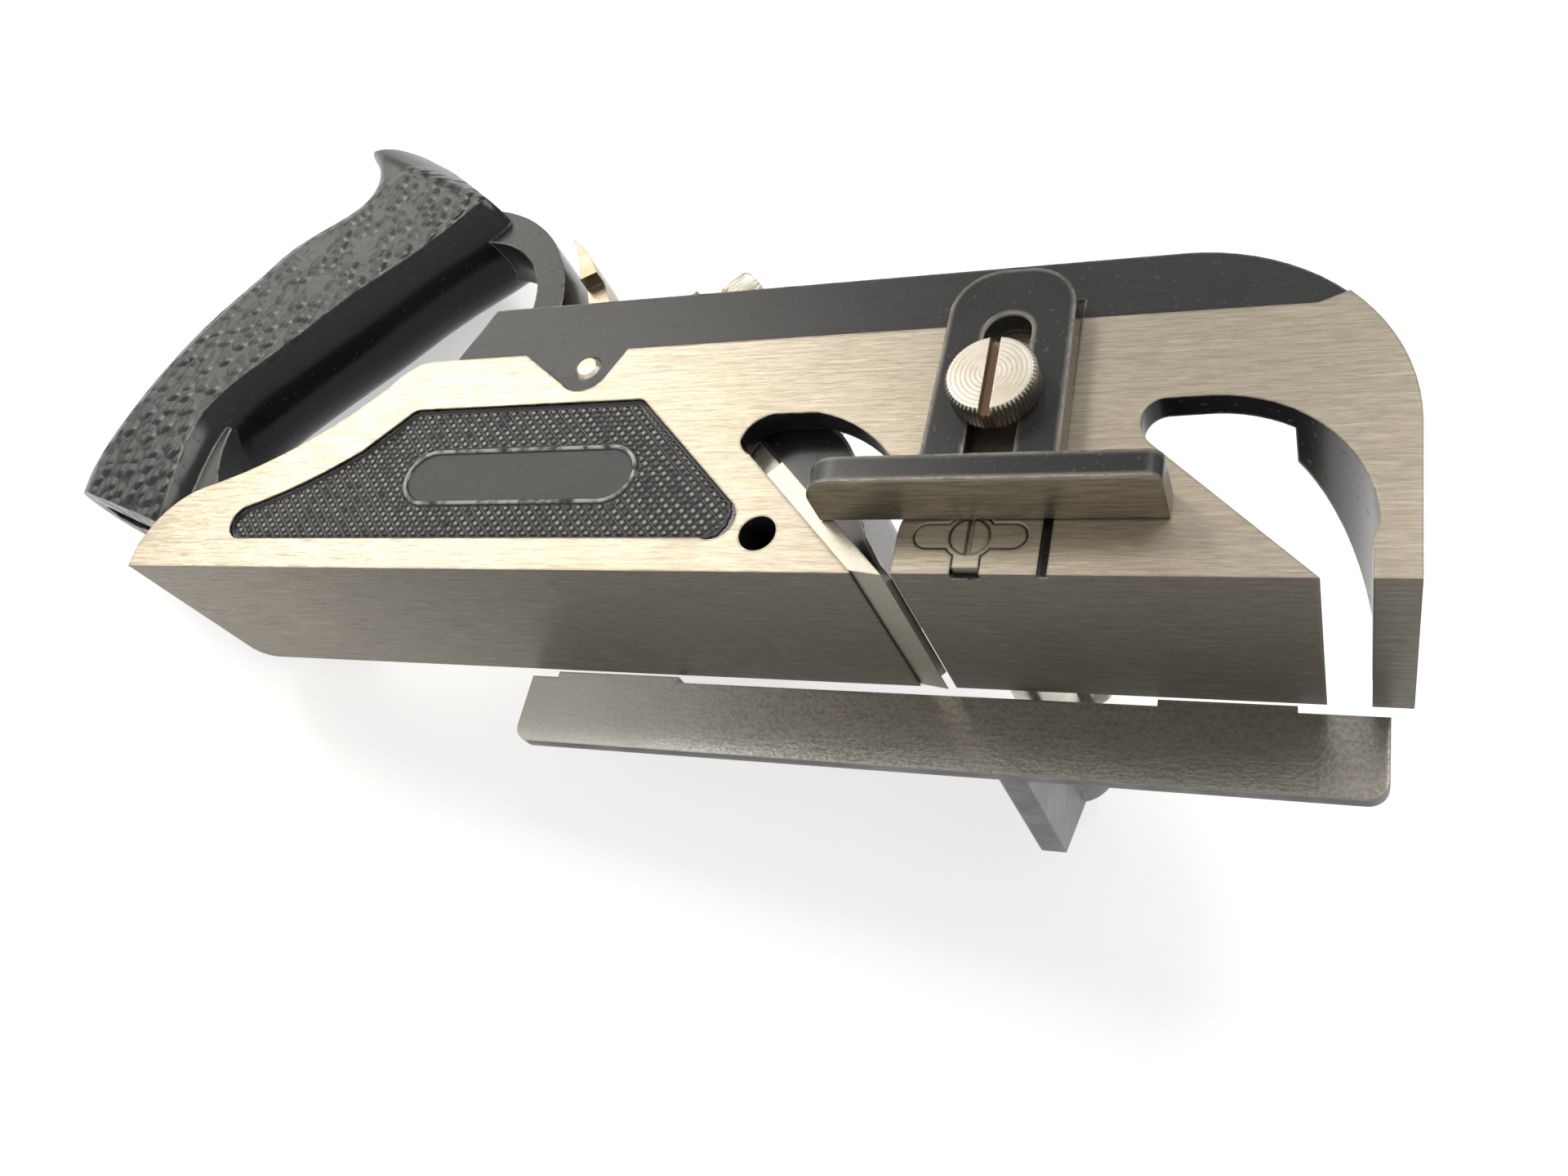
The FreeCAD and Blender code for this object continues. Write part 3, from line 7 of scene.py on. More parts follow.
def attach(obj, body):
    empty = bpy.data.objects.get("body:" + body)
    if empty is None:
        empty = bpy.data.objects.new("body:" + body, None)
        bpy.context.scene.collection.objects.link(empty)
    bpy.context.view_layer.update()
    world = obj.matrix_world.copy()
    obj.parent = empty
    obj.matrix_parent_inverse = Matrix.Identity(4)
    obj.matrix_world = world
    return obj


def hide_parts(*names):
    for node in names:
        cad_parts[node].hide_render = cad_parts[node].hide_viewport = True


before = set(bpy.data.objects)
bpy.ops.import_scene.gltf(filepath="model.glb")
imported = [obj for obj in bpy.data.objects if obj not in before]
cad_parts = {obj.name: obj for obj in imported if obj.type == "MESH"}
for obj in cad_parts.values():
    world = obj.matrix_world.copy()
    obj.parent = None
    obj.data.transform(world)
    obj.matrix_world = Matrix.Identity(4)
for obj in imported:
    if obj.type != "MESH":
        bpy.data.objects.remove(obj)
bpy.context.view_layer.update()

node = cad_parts


# Camera: it looks up at the ground side and the sole from in front of the toe,
# a little below the object, as the photograph was taken.
camera = bpy.data.objects.new("camera", bpy.data.cameras.new("camera"))
camera.location = (0.103195, -0.173478, -0.085874)
camera.rotation_euler = [radians(a) for a in (116.309102, -11.919588, 20.970642)]
camera.data.sensor_width = 36
camera.data.lens = 30.746
camera.data.clip_start = 0.002
bpy.context.collection.objects.link(camera)
bpy.context.scene.camera = camera
bpy.context.scene.view_settings.view_transform = "Standard"


# Every finish is written with this: a socket of a material's node tree that
# adds, multiplies and mixes like a number or a colour.
class Val:
    """A node socket; arithmetic on it adds Math nodes, node() adds any other."""

    def __init__(self, tree, socket=None):
        self.tree = tree
        self.socket = socket

    def node(self, kind, settings=None, inputs=None, out=0):
        """Adds a node, sets it up, feeds its inputs and gives one of its outputs."""
        new = self.tree.nodes.new("ShaderNode" + kind)
        for key, value in (settings or {}).items():
            setattr(new, key, value)
        for key, value in (inputs or {}).items():
            if isinstance(value, Val):
                self.tree.links.new(value.socket, new.inputs[key])
            else:
                new.inputs[key].default_value = value
        return Val(self.tree, new.outputs[out])

    def math(self, operation, *others):
        values = dict(enumerate((self,) + others))
        return self.node("Math", {"operation": operation}, values)

    def __add__(self, other):
        return self.math("ADD", other)

    def __sub__(self, other):
        return self.math("SUBTRACT", other)

    def __mul__(self, other):
        return self.math("MULTIPLY", other)

    def __rsub__(self, other):
        return self.math("MULTIPLY_ADD", -1.0, other)

    def __gt__(self, other):
        return self.math("GREATER_THAN", other)

    def __lt__(self, other):
        return self.math("LESS_THAN", other)

    __radd__ = __add__
    __rmul__ = __mul__

    def most(self, other):
        return self.math("MAXIMUM", other)

    def size(self):
        return self.math("ABSOLUTE")

    def rise(self, low, high, start=0.0, end=1.0):
        """start below low, end above high, and a smooth step between them."""
        inputs = {0: self, 1: low, 2: high, 3: start, 4: end}
        return self.node("MapRange", {"interpolation_type": "SMOOTHSTEP"}, inputs)

    def axis(self, name):
        return self.node("SeparateXYZ", inputs={0: self}, out="XYZ".index(name))

    def mix(self, first, second):
        """The first colour where this value is 0, and the second where it is 1."""
        return self.node("Mix", {"data_type": "RGBA"}, {0: self, 6: first, 7: second}, 2)

    def noise(self, scale, detail=4.0, rough=0.55, stretch=None):
        """Cloudy noise of that many lumps a metre, closer along each axis by its stretch."""
        where = self
        if stretch:
            where = self.node("Mapping", inputs={0: self, 3: stretch})
        inputs = {"Vector": where, "Scale": scale, "Detail": detail, "Roughness": rough}
        return where.node("TexNoise", inputs=inputs)


def rgb(red, green, blue):
    return (red, green, blue, 1.0)


def finish(name, build, **fixed):
    """A new material. build gets the object's coordinates and its true normal, and returns
    what varies: colour, rough, metal, height with its depth, and perhaps a rounded normal."""
    material = bpy.data.materials.new(name)
    material.use_nodes = True
    tree = material.node_tree
    tree.nodes.clear()
    start = Val(tree)
    place = start.node("TexCoord", out=3)
    facing = start.node("NewGeometry", out=3)
    look = build(place, facing)
    inputs = {"Base Color": look["colour"], "Roughness": look["rough"], "Metallic": look["metal"]}
    inputs.update({key.replace("_", " "): value for key, value in fixed.items()})
    bump = {"Strength": 1.0, "Distance": look["depth"], "Height": look["height"]}
    if "round" in look:
        bump["Normal"] = look["round"]
    inputs["Normal"] = start.node("Bump", inputs=bump)
    shader = start.node("BsdfPrincipled", inputs=inputs)
    tree.links.new(shader.socket, tree.nodes.new("ShaderNodeOutputMaterial").inputs[0])
    return material


def wear(place, radius, low=0.02, high=0.25):
    """1 along sharp edges, where the normal rounded over that radius leaves the true one by
    more than high; and the rounded normal itself."""
    rounded = place.node("Bevel", {"samples": 3}, {"Radius": radius})
    true = place.node("NewGeometry", out=3)
    same = place.node("VectorMath", {"operation": "DOT_PRODUCT"}, {0: rounded, 1: true}, 1)
    return (1.0 - same).rise(low, high), rounded


def paint(target, material):
    """The object shows this material all over."""
    target.data.materials.clear()
    target.data.materials.append(material)


# Black enamel: two coats over the rough casting, glossy, with dust specks and
# worn through to bare iron along the edges.
def enamel(place, worn, dull=0.0):
    """Colour, roughness, metal and height in mm of black enamel with chipped edges; dull
    greys it and takes its gloss, as on the faces that hands and belts have rubbed."""
    specks = place.noise(1100, 2, 0.5).rise(0.66, 0.72)
    cloud = place.noise(55, 5, 0.6)
    broken = (worn * 0.6 + place.noise(240, 4, 0.7) * 1.5 - 1.02).rise(0.1, 0.3)
    dusty = cloud * 0.3 + specks * 0.5 + dull
    black = dusty.mix(rgb(0.004, 0.0045, 0.005), rgb(0.045, 0.046, 0.046))
    return {"colour": broken.mix(black, rgb(0.36, 0.34, 0.3)),
            "rough": 0.15 + 0.1 * cloud + 0.08 * specks + 0.3 * dull + 0.15 * broken,
            "metal": broken * 0.85, "height": cloud * 0.05 + specks * 0.03 - broken * 0.03}


# Body casting: one iron casting of side wall, sole, bed and hand grip, enamelled
# black, then ground on its right side, sole, left edge and bed. The grip is cast
# with a pebbled skin where the palm lies, and smooth under the fingers.
HALF_WIDE = 0.019
NEAR = 0.00005          # a point this near a ground plane lies in it
SQUARE = 0.9            # a normal with this much along an axis faces along it
BED_LINE = 0.0347       # x + z on the bed
BED_TOP = 0.0451
TOE_X = 0.0985
TOE_TOP = 0.03
BAND_LOW = 0.0385       # the black band over the ground side
BAND_REAR = -0.07
WALL_Y = -0.0145        # within the side wall
GRIP_X = -0.06          # the grip lies behind this
RIDGE_FOOT = 0.1158     # the ridge from the palm side to the finger side
RIDGE_LOW = 0.04
RIDGE_SLOPE = 1.05
PALM_TOP = 0.0985
HORN_LOW = 0.098
HORN_HIGH = 0.106
PEBBLES = 290.0         # to a metre


def casting(place, facing):
    """Ground iron on the machined faces, black enamel everywhere else."""
    x, y, z = place.axis("X"), place.axis("Y"), place.axis("Z")
    nx, ny, nz = facing.axis("X"), facing.axis("Y"), facing.axis("Z")
    worn, rounded = wear(place, 0.0006)
    side = (y < NEAR - HALF_WIDE) * (ny < -SQUARE)
    sole = (z < NEAR) * (nz < -SQUARE)
    left = (y > HALF_WIDE - NEAR) * (ny > SQUARE)
    bed = ((x + z - BED_LINE).size() < 4 * NEAR) * (nx > 0.6) * (z < BED_TOP)
    toe = (x > TOE_X) * (nx > 0.85) * (z < TOE_TOP)
    bare = side.most(sole).most(left).most(bed).most(toe)
    lines = place.noise(42, 4, 0.75, stretch=(2.2, 40, 40))
    fine = place.noise(150, 2, 0.7, stretch=(2.5, 30, 30))
    cloud = place.noise(20, 3, 0.6)
    scratch = place.noise(90, 2, 0.5, stretch=(1.2, 26, 26)).rise(0.62, 0.72)
    # painted light: the ground side's colour is brighter towards the heel and darker towards the toe, a
    # painted highlight and falloff of the lamps' light
    painted_falloff = x.rise(-0.075, 0.01) * 0.9 + cloud * 0.25
    lit_to_shaded_side = painted_falloff.mix(rgb(0.6, 0.53, 0.415), rgb(0.33, 0.295, 0.235))
    stain = (cloud.rise(0.42, 0.62) * 0.5).mix(lit_to_shaded_side, rgb(0.36, 0.31, 0.235))
    face = ((lines * 0.6 + fine * 0.6).rise(0.42, 0.78) * 0.75).mix(stain, rgb(0.2, 0.175, 0.135))
    # painted light: the sole is painted lighter at the heel and darker towards the toe
    sole_painted_falloff = x.rise(-0.09, -0.02) * 0.75
    lit_to_shaded_sole = sole_painted_falloff.mix(rgb(0.27, 0.245, 0.2), rgb(0.135, 0.124, 0.103))
    under = ((lines * 0.5 + fine * 0.5).rise(0.38, 0.7) * 0.6).mix(lit_to_shaded_sole, rgb(0.055, 0.05, 0.04))
    iron = (scratch * 0.18).mix(sole.mix(face, under), rgb(0.6, 0.56, 0.48))
    ridge = x + RIDGE_FOOT - (z - RIDGE_LOW).most(0.0) * RIDGE_SLOPE
    below_horn = (PALM_TOP - z + 0.4 * (x + 0.1)).rise(0.0, 0.004)
    palm = (-0.0005 - ridge).rise(0.0, 0.002) * below_horn * (x < GRIP_X)
    spots = {"Vector": place, "Scale": PEBBLES, "Randomness": 0.9}
    cells = place.node("TexVoronoi", {"feature": "F1"}, spots)
    swell = place.noise(170, 2, 0.5)
    pebble = palm * (cells.rise(0.0, 0.75, 0.5, 0.0) + swell * 0.3)
    band = (z > BAND_LOW) * (x > BAND_REAR) * (ny < -SQUARE) * (y < WALL_Y)
    horn = (x < GRIP_X) * z.rise(HORN_LOW, HORN_HIGH)
    greying = (palm * 0.1).most(band * (0.22 + 0.4 * lines)).most(horn * 0.35)
    black = enamel(place, worn, greying)
    coated = 1.0 - bare
    iron_rough = 0.3 + 0.12 * lines + 0.08 * cloud + 0.05 * sole
    iron_height = lines * 0.035 + fine * 0.02
    return {"colour": bare.mix(black["colour"], iron),
            "rough": bare * iron_rough + coated * black["rough"],
            "metal": (bare * 0.82).most(black["metal"]),
            "height": bare * iron_height + coated * black["height"] + pebble,
            "depth": 0.001, "round": rounded}


paint(node["body_casting"], finish("casting_iron", casting, Specular_IOR_Level=0.22))


# Knurled field: the recess in the side is cast with rows of small four-sided
# points for grip, round a bare smooth plate with a raised rim.
def outline_distance(x, z, corners):
    """Signed distance to a closed line of corners, positive inside: the shortest distance
    to any edge, with the sign from counting the edges that lie to one side."""
    near = np.full(x.shape, 1e9)
    inside = np.zeros(x.shape, bool)
    for (ax, az), (bx, bz) in zip(corners, corners[1:] + corners[:1]):
        wide, tall = bx - ax, bz - az
        along = ((x - ax) * wide + (z - az) * tall) / (wide ** 2 + tall ** 2)
        along = np.clip(along, 0, 1)
        near = np.minimum(near, np.hypot(x - ax - along * wide, z - az - along * tall))
        if tall != 0:
            inside ^= ((az > z) != (bz > z)) & (x < wide * (z - az) / tall + ax)
    return np.where(inside, near, -near)


def grid_faces(rows, columns, ring=False):
    """Four-cornered faces of a grid of points stored row by row; a ring closes each row."""
    index = np.arange(rows * columns).reshape(rows, columns)
    if ring:
        index = np.concatenate([index, index[:, :1]], 1)
    return np.stack([index[:-1, :-1], index[:-1, 1:], index[1:, 1:], index[1:, :-1]], -1).reshape(-1, 4)


def solid_piece(name, points, faces, body, sharp=35):
    """A new object from points in mm and faces, smooth but for edges sharper than that angle."""
    mesh = bpy.data.meshes.new(name)
    mesh.from_pydata((np.asarray(points) * 0.001).tolist(), [], [list(map(int, f)) for f in faces])
    mesh.update()
    mesh.polygons.foreach_set("use_smooth", np.ones(len(mesh.polygons), bool))
    mesh.set_sharp_from_angle(angle=radians(sharp))
    piece = bpy.data.objects.new(name, mesh)
    bpy.context.collection.objects.link(piece)
    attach(piece, body)
    return piece


PANEL = [(25.5, 5.8), (117.2, 5.8), (119.6, 6.6), (120.9, 8.6), (121.2, 11), (120.6, 12.9),
         (100.5, 31.9), (99.6, 32.4), (98.5, 32.5), (54.5, 32.5), (53.2, 32.2), (52, 31.3),
         (44.5, 24), (40.5, 21.4), (36, 18.6), (30, 15.4), (22.4, 12.46), (20.8, 11), (20.3, 9),
         (21, 7.2), (22.6, 6.1)]
POINT_PITCH = 1.42
POINT_HIGH = 0.62
POINT_SHARP = 1.4
STEP = 0.2              # of the grid that carries the field
HEEL_BACK = 108         # the outline is measured from the heel, this far behind the origin
RECESS_Y = -18.04
PLATE_X, PLATE_Z = 79, 18.4
PLATE_HALF = 17.5       # between the middles of its round ends
PLATE_R = 5.2
RIM_WIDE = 0.55
RIM_HIGH = 0.55
FOOT_WIDE = 0.6
FOOT_HIGH = 0.25
MARGIN = 0.7            # the points stop this far from the outline and the rim


def field_height(x, z, edge):
    """Height over the recess: four-sided points, each the smaller of two triangle waves along
    the diagonals, faded out at the outline and the plate; a rim round the plate's edge, which
    is a line widened to a radius; and a foot that rises to the outline."""
    u = (x + z) / (np.sqrt(2) * POINT_PITCH)
    v = (x - z) / (np.sqrt(2) * POINT_PITCH)
    point = np.minimum(1 - np.abs(2 * (u % 1) - 1), 1 - np.abs(2 * (v % 1) - 1))
    plate_edge = PLATE_R - np.hypot(np.maximum(np.abs(x - PLATE_X) - PLATE_HALF, 0), z - PLATE_Z)
    shown = np.clip((edge - MARGIN) / 0.5, 0, 1) * np.clip((-plate_edge - MARGIN) / 0.4, 0, 1)
    rim = np.clip(1 - np.abs(plate_edge) / RIM_WIDE, 0, 1) ** 0.7
    foot = np.clip(1 - edge / FOOT_WIDE, 0, 1)
    return POINT_HIGH * np.clip(point, 0, 0.9) ** POINT_SHARP * shown + RIM_HIGH * rim + FOOT_HIGH * foot


x, z = np.meshgrid(np.arange(20, 122, STEP), np.arange(5.4, 33, STEP), indexing="ij")
edge = outline_distance(x, z, PANEL)
points = np.stack([x - HEEL_BACK, RECESS_Y - field_height(x, z, edge), z], -1)
faces = grid_faces(*x.shape)
keep = edge.reshape(-1)[faces].min(1) > 0.03
used, faces = np.unique(faces[keep], return_inverse=True)
points = points.reshape(-1, 3)[used]
knurled_field = solid_piece("knurled_field", points, faces.reshape(-1, 4), "plane")


def field_look(place, facing):
    """Black enamel, rubbed to grey on the tops of the points, partly as a painted highlight, and dull on
    the bare plate.
    """
    y = place.axis("Y")
    top = (-0.0182 - y).rise(0.0, 0.00025)
    # painted highlight: the tops of the points are painted greyer and lighter, partly rubbed wear and
    # partly standing in for glints
    look = enamel(place, 0.1, top * 0.35)
    greying = top * place.noise(500, 3).rise(0.3, 0.6) * 0.85
    look["colour"] = greying.mix(look["colour"], rgb(0.5, 0.49, 0.46))
    raised = (y - RECESS_Y * 0.001).size().rise(0.00002, 0.00006)
    look["rough"] = look["rough"] + (1.0 - raised) * 0.3
    look.update(depth=0.001)
    return look


paint(knurled_field, finish("field_enamel", field_look, Specular_IOR_Level=0.35))


# Cutter, spur and spur screw: tool steel, ground on a belt, so that fine lines
# run along the tool; the spur's edges carry a painted shade of the gap round it in the side's recess.
def ground(place, tone, dark, along=(3, 60, 60)):
    """Colour, roughness and height of belt-ground steel: lines drawn out along one axis."""
    lines = place.noise(60, 6, 0.7, stretch=along)
    fine = place.noise(260, 3, 0.6, stretch=along)
    cloud = place.noise(28, 4, 0.6)
    shade = (lines * 0.55 + fine * 0.35 + cloud * 0.35).rise(0.42, 0.82)
    return {"colour": shade.mix(dark, tone), "rough": 0.26 + 0.16 * lines + 0.1 * cloud,
            "height": lines * 0.6 + fine * 0.4}


def steel(place, facing):
    """Bright steel with fine scratches along the blade."""
    worn, rounded = wear(place, 0.0003)
    look = ground(place, rgb(0.4, 0.375, 0.32), rgb(0.26, 0.24, 0.2), along=(20, 60, 20))
    look.update(metal=0.9 + 0.05 * worn, depth=0.00003, round=rounded)
    return look


paint(node["cutter"], finish("cutter_steel", steel))


def spur_steel(place, facing):
    """The same lines as on the side round it, with painted shade of the gap along the outline."""
    worn, rounded = wear(place, 0.0005, 0.01, 0.15)
    look = ground(place, rgb(0.36, 0.325, 0.26), rgb(0.17, 0.15, 0.115))
    # painted shade: the spur darkens along its edges, where the gap round it lies in shade
    painted_gap_shade = (worn * 0.9 + place.noise(500, 3) * 0.5 - 0.35).rise(0.0, 0.4)
    look["colour"] = painted_gap_shade.mix(look["colour"], rgb(0.035, 0.03, 0.024))
    look.update(metal=0.85 - 0.5 * painted_gap_shade, depth=0.00003, round=rounded)
    return look


spur_finish = finish("spur_steel", spur_steel)
for name in ("spur", "spur_screw"):
    paint(node[name], spur_finish)


# Depth stop and lever cap: iron castings in the same enamel, knocked bare along
# their edges; the stop's foot is ground underneath, and the cap's lower end is bright.
FOOT_UNDER = 0.00865     # the ground underside of the stop lies below this
STOP_Y = -0.018          # the stop lies outside this, the cap inside
TIP_HIGH = 0.0135        # the bright end of the cap


def cast_black(place, facing):
    """Enamel with chipped edges, ground iron under the stop's foot and at the cap's end."""
    worn, rounded = wear(place, 0.0012, 0.004, 0.12)
    x, y, z = place.axis("X"), place.axis("Y"), place.axis("Z")
    look = enamel(place, worn, 0.05 + 0.25 * place.noise(30, 4))
    under = (facing.axis("Z") < -SQUARE) * (z < FOOT_UNDER) * (y < STOP_Y)
    lines = place.noise(60, 6, 0.7, stretch=(3, 40, 40))
    tip = (y > STOP_Y - 0.0005) * (TIP_HIGH - z - 0.25 * x.size()).rise(0.0, 0.0015)
    chips = (worn * 0.9 + place.noise(420, 5, 0.75) * 1.3 - 1.1).rise(0.05, 0.3).most(tip)
    look["colour"] = chips.mix(look["colour"], rgb(0.42, 0.39, 0.33))
    iron = lines.rise(0.3, 0.7).mix(rgb(0.3, 0.265, 0.205), rgb(0.15, 0.13, 0.1))
    look["colour"] = under.mix(look["colour"], iron)
    look["metal"] = look["metal"].most(chips * 0.8).most(under * 0.8)
    look["rough"] = look["rough"].most(chips * 0.38).most(under * 0.36)
    look.update(depth=0.001, round=rounded)
    return look


black_iron = finish("enamelled_iron", cast_black, Specular_IOR_Level=0.3)
for name in ("lever_cap", "depth_stop"):
    paint(node[name], black_iron)


# Thumbscrews: turned steel, the heads knurled with straight teeth and plated
# with nickel; the one on the depth stop has a slot for a coin.
TOOTH_STEPS = 6          # columns of points to a tooth
BOX_FACES = [(0, 1, 3, 2), (4, 6, 7, 5), (0, 4, 5, 1), (2, 3, 7, 6), (0, 2, 6, 4), (1, 5, 7, 3)]


def thumbscrew(name, body, base, axis, profile, teeth, tooth_deep, slot=None):
    """Profile rows (radius, height, share of tooth) carried round an axis; the radius falls by
    the tooth depth in a triangle wave of that many teeth. The slot is cut by a box."""
    turns = teeth * TOOTH_STEPS
    round_ = np.arange(turns) * 2 * np.pi / turns
    wave = np.abs(((np.arange(turns) / TOOTH_STEPS) % 1) * 2 - 1)
    radius, height, share = np.array(profile, float).T
    radius = radius[:, None] - share[:, None] * tooth_deep * wave
    axis = np.array(axis) / np.linalg.norm(axis)
    first = np.cross((0, 1, 0), axis) if abs(axis[1]) < 0.9 else np.array((1.0, 0, 0))
    second = np.cross(axis, first)
    ring = first * np.cos(round_)[:, None] + second * np.sin(round_)[:, None]
    points = np.array(base) + radius[..., None] * ring + height[:, None, None] * axis
    count = len(profile)
    faces = grid_faces(count, turns, ring=True).tolist()
    faces += [list(range(turns))[::-1], list(range((count - 1) * turns, count * turns))]
    piece = solid_piece(name, points.reshape(-1, 3), faces, body)
    if slot:
        half, deep, top = slot
        long, over = 12, 3
        rise = (top - deep, top + over)
        corner = [(a, b, c) for a in (-half, half) for b in (-long, long) for c in rise]
        corner = np.array(base) + np.array(corner) @ np.array([first, second, axis])
        box = bpy.data.meshes.new("slot_cut")
        box.from_pydata((corner * 0.001).tolist(), [], BOX_FACES)
        knife = bpy.data.objects.new("slot_cut", box)
        bpy.context.collection.objects.link(knife)
        cut = piece.modifiers.new("slot", "BOOLEAN")
        cut.object = knife
        cut.solver = "EXACT"
        ready = bpy.context.evaluated_depsgraph_get()
        shape = bpy.data.meshes.new_from_object(piece.evaluated_get(ready))
        piece.modifiers.clear()
        piece.data = shape
        bpy.data.objects.remove(knife)
    return piece


def head_rows(shaft, low, neck, neck_low, head, head_low, top, edge):
    """Shaft, neck and head, each edge eased; only the head's rim carries the teeth."""
    ease = 0.3
    return [(shaft - ease, low, 0), (shaft, low + ease, 0), (shaft, neck_low, 0), (neck, neck_low, 0),
            (neck, head_low, 0), (head - edge, head_low, 0), (head, head_low + edge, 1),
            (head, top - edge, 1), (head - edge, top, 0), (head - edge - ease, top, 0)]


STOP_SCREW_X, STOP_SCREW_Z = 0.0533, 0.027
SLOT_HALF = 0.00085
HEAD_R = 0.0068


def nickel(place, facing):
    """Nickel plate with soft mottling: turning rings and a brown slot on the stop's screw, and
    a brassy dullness on the lever and the cap's screw, behind the side."""
    worn, rounded = wear(place, 0.0003)
    x, y, z = place.axis("X"), place.axis("Y"), place.axis("Z")
    cloud = place.noise(130, 5, 0.65)
    across, up = x - STOP_SCREW_X, z - STOP_SCREW_Z
    away = (across * across + up * up).math("SQRT")
    slot = (across.size() < SLOT_HALF) * (away < HEAD_R) * (y > -0.0279) * (y < -0.0236)
    rings = (away * 9000.0).math("SINE") * (facing.axis("Y") < -SQUARE)
    tone = (cloud.rise(0.35, 0.75) * 0.8).mix(rgb(0.6, 0.57, 0.5), rgb(0.33, 0.28, 0.2))
    behind = (x < -0.005) * (z > 0.04)
    tone = (behind * (0.55 + 0.4 * cloud)).mix(tone, rgb(0.2, 0.155, 0.09))
    return {"colour": slot.mix(tone, rgb(0.17, 0.11, 0.065)),
            "rough": 0.2 + 0.2 * cloud + 0.3 * slot, "metal": 1.0 - 0.5 * slot,
            "height": cloud * 0.02 + rings * 0.004, "depth": 0.001, "round": rounded}


plate = finish("nickel_plate", nickel)
# Each row: body, base, axis, the sizes of head_rows, teeth and their depth, and the slot's
# half width, depth and top.
SCREWS = {
    "lever_cap_thumbscrew": ("cap_thumbscrew", (-15.717, -2, 50.417), (1, 0, 1),
                             (3.4, 3.2, 4.6, 12.7, 7, 16.4, 22.2, 0.5), 44, 0.5, None),
    "depth_stop_thumbscrew": ("stop_thumbscrew", (53.3, -19, 27), (0, -1, 0),
                              (2.1, -4.3, 2.7, 3.1, 6.6, 4.6, 9.3, 0.5), 60, 0.35, (0.8, 1.5, 9.3)),
    "fence_thumbscrew": ("fence_clamp", (51.3, 56, 6.6), (0, 0, 1),
                         (2.4, 5.1, 3.6, 8.1, 7, 10.2, 16, 0.5), 56, 0.4, None),
}
for name, (body, base, axis, sizes, teeth, deep, slot) in SCREWS.items():
    piece = thumbscrew(name + "_knurled", body, base, axis, head_rows(*sizes), teeth, deep, slot)
    paint(piece, plate)
    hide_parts(name)
for name in ("adjusting_lever", "lever_cap_screw", "adjusting_lever_pin", "fence_arm"):
    paint(node[name], plate)


# Fence: a cast plate ground on its working face, with two pads, a web and a
# boss that rides on the arm; the rest is left grey, as cast, with painted reflection streaks.
FENCE_FACE = 0.0193      # the working face lies inside this


def fence_look(place, facing):
    """Ground face with a fine sparkle and a painted highlight towards the heel; grey casting behind with
    painted reflection streaks.
    """
    worn, rounded = wear(place, 0.0007)
    x, y = place.axis("X"), place.axis("Y")
    front = (y < FENCE_FACE) * (facing.axis("Y") < -SQUARE)
    grain = place.noise(1500, 3, 0.7)
    lines = place.noise(60, 6, 0.7, stretch=(4, 30, 30))
    cloud = place.noise(35, 4)
    # painted highlight: the ground face is painted paler, less metallic and with fewer dark marks
    # towards the heel, standing in for a lamp's reflection
    painted_falloff = x.rise(-0.04, 0.07) * 0.7 + cloud * 0.3
    face_with_painted_highlight = painted_falloff.mix(rgb(0.9, 0.88, 0.83), rgb(0.24, 0.22, 0.19))
    marks = (grain * 0.7 + lines * 0.4).rise(0.42, 0.75) * x.rise(-0.035, 0.03, 0.15, 0.6)
    face = marks.mix(face_with_painted_highlight, rgb(0.13, 0.125, 0.11))
    # painted reflection: light and dark streaks on the grey casting behind, besides its grain and
    # lighter worn edges
    painted_reflection_streaks = place.noise(70, 4, 0.7, stretch=(1, 1, 0.4))
    light = painted_reflection_streaks.rise(0.35, 0.75) * 0.4 + grain * 0.25 + worn * 0.5
    back = light.mix(rgb(0.09, 0.092, 0.095), rgb(0.42, 0.41, 0.39))
    return {"colour": front.mix(back, face),
            "rough": 0.3 + 0.1 * grain + 0.1 * cloud - 0.2 * front,
            "metal": 0.6 + front * (x.rise(-0.035, 0.03) * 0.75 - 0.45),
            "height": grain * 0.03 + lines * 0.02, "depth": 0.001, "round": rounded}


paint(node["fence"], finish("fence_iron", fence_look))


# The table that the plane lies on in the photograph, behind it from this side,
# and a level floor that only the views from above see. Neither belongs to the
# object. Both are white and keep the object's shadow.
FLOOR_Z = -0.0144


def ground_sheet(name, centre, normal, half=3.0):
    """A flat sheet about centre, square to normal, that far to each side."""
    normal = np.array(normal) / np.linalg.norm(normal)
    first = np.cross(normal, (0.3, 0.2, 0.9))
    first /= np.linalg.norm(first)
    second = np.cross(normal, first)
    turns = np.array([(-half, -half), (half, -half), (half, half), (-half, half)])
    points = np.array(centre) + turns @ np.array([first, second])
    mesh = bpy.data.meshes.new(name)
    mesh.from_pydata(points.tolist(), [], [(0, 1, 2, 3)])
    sheet = bpy.data.objects.new(name, mesh)
    bpy.context.collection.objects.link(sheet)
    return sheet


def in_view(start):
    """1 for the rays that a viewer follows: from the camera, off gloss and through gaps."""
    camera_ray, glossy, through = (start.node("LightPath", out=out) for out in (0, 3, 6))
    return camera_ray.most(glossy).most(through)


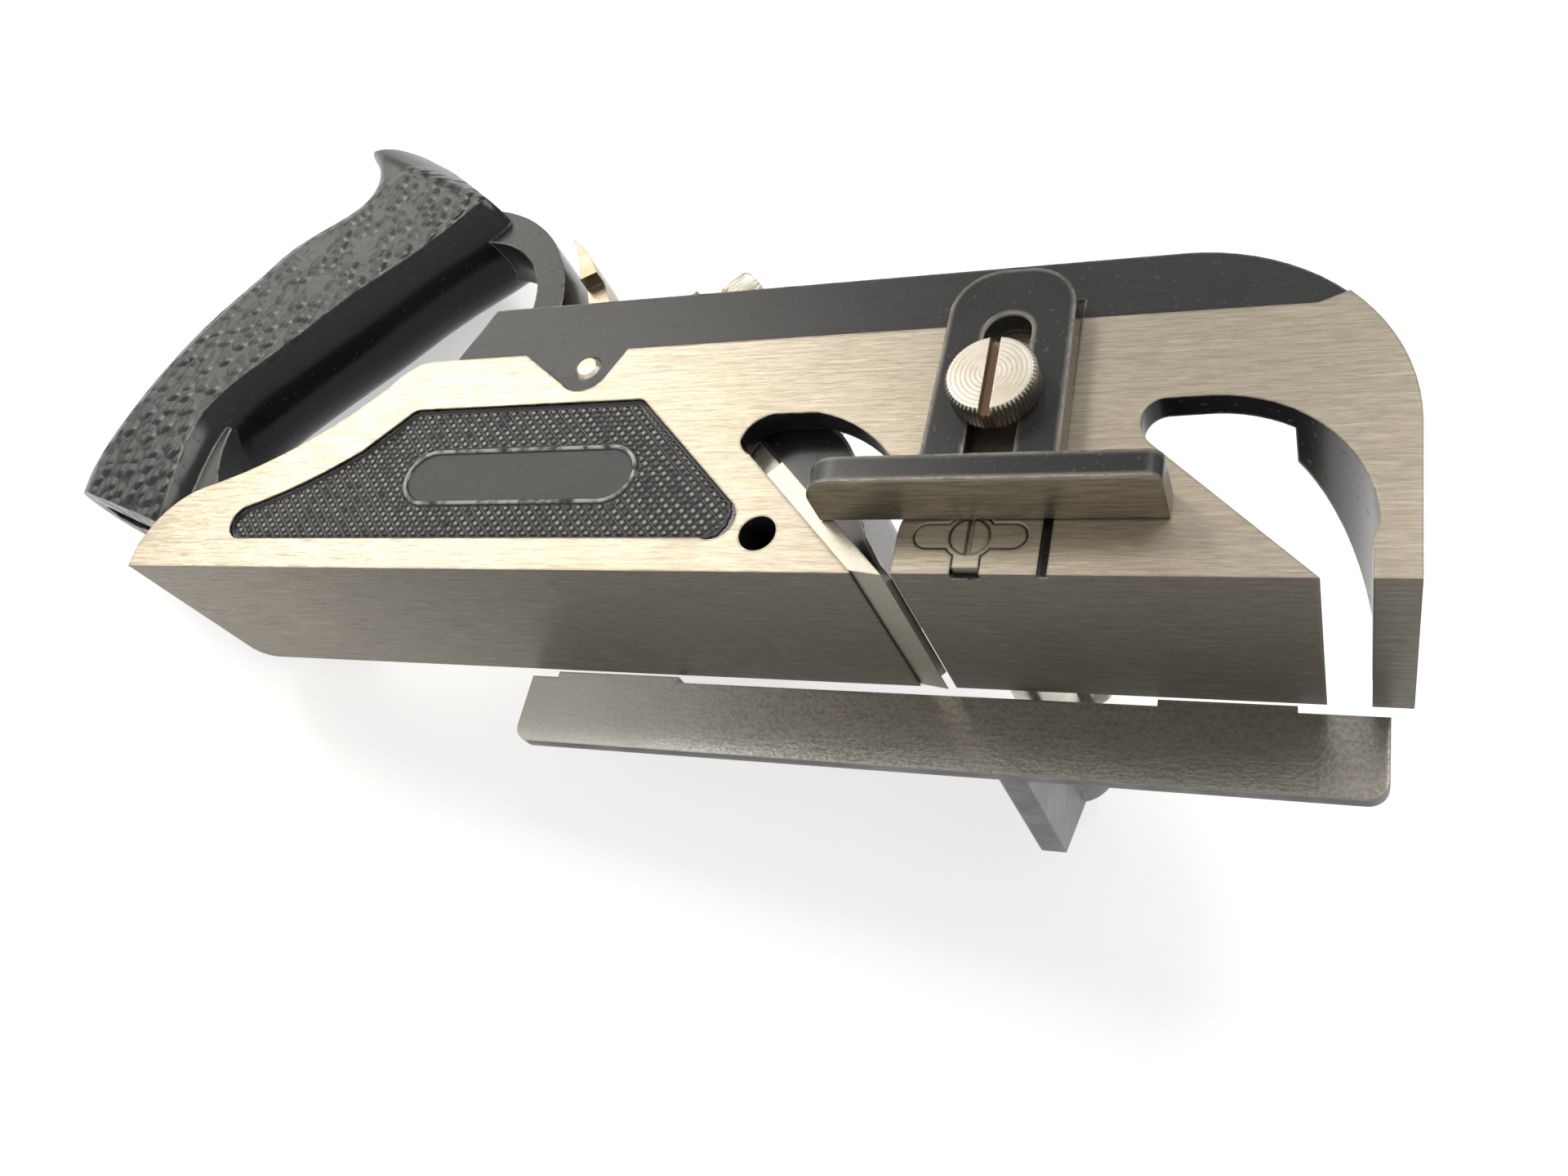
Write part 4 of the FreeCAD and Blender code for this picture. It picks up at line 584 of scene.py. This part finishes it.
def white_sheet():
    """White card: the lamps' light and shadows on top of a plain glow, only from its front
    and only for the rays in view."""
    material = bpy.data.materials.new("white_card")
    material.use_nodes = True
    tree = material.node_tree
    tree.nodes.clear()
    start = Val(tree)
    back = start.node("NewGeometry", out=6)
    card = start.node("BsdfDiffuse", inputs={0: rgb(0.75, 0.75, 0.75)})
    glow = start.node("Emission", inputs={0: rgb(1.0, 1.0, 1.0), 1: 0.5})
    both = start.node("AddShader", inputs={0: card, 1: glow})
    clear = start.node("BsdfTransparent")
    shader = start.node("MixShader", inputs={0: in_view(start) * (1.0 - back), 1: clear, 2: both})
    tree.links.new(shader.socket, tree.nodes.new("ShaderNodeOutputMaterial").inputs[0])
    return material


card = white_sheet()
corner = np.array((0.051, 0.073, 0.0066))    # the three points that rest on the table
heel = np.array((-0.143, 0.009, 0.03))
horn = np.array((-0.103, 0.009, 0.115))
lie = np.cross(heel - corner, horn - corner)
if lie[1] > 0:
    lie = -lie
table = ground_sheet("table", corner, lie)
floor = ground_sheet("floor", (0, 0, FLOOR_Z), (0, 0, 1))
for sheet in (table, floor):
    paint(sheet, card)


# Light: a plain white surround, two lamps from the window side whose mirror
# images brighten the heel of the side, one from the toe, and two soft fills.
world = bpy.data.worlds.new("studio")
bpy.context.scene.world = world
world.use_nodes = True
world.node_tree.nodes.clear()
sky = Val(world.node_tree)
light = sky.node("Background", inputs={0: rgb(1.0, 0.99, 0.97), 1: 0.4 + 0.6 * in_view(sky)})
end = world.node_tree.nodes.new("ShaderNodeOutputWorld")
world.node_tree.links.new(light.socket, end.inputs[0])


def lamp(name, place, aim, side, power, colour):
    """A square area lamp at place, turned to aim."""
    data = bpy.data.lights.new(name, "AREA")
    data.size = side
    data.energy = power
    data.color = colour
    thing = bpy.data.objects.new(name, data)
    thing.location = place
    turn = np.array(aim) - np.array(place)
    thing.rotation_euler = Vector(turn).to_track_quat("-Z", "Y").to_euler()
    bpy.context.collection.objects.link(thing)


lamp("key", (0.42, -0.8, 0.36), (0, 0, 0.03), 0.34, 3.4, (1.0, 0.98, 0.95))
lamp("window", (-0.57, -0.6, 0.45), (0, 0, 0.03), 0.5, 3.0, (1.0, 0.95, 0.86))
lamp("window_edge", (-0.42, -0.8, 0.41), (0, 0, 0.0), 0.2, 2.0, (1.0, 0.97, 0.92))
lamp("fill_low", (-0.12, -0.4, -0.75), (0, 0, 0.0), 0.5, 2.3, (1.0, 0.98, 0.95))
lamp("fill_back", (-0.2, 0.8, 0.7), (0, 0, 0.03), 0.7, 4, (1.0, 1.0, 1.0))
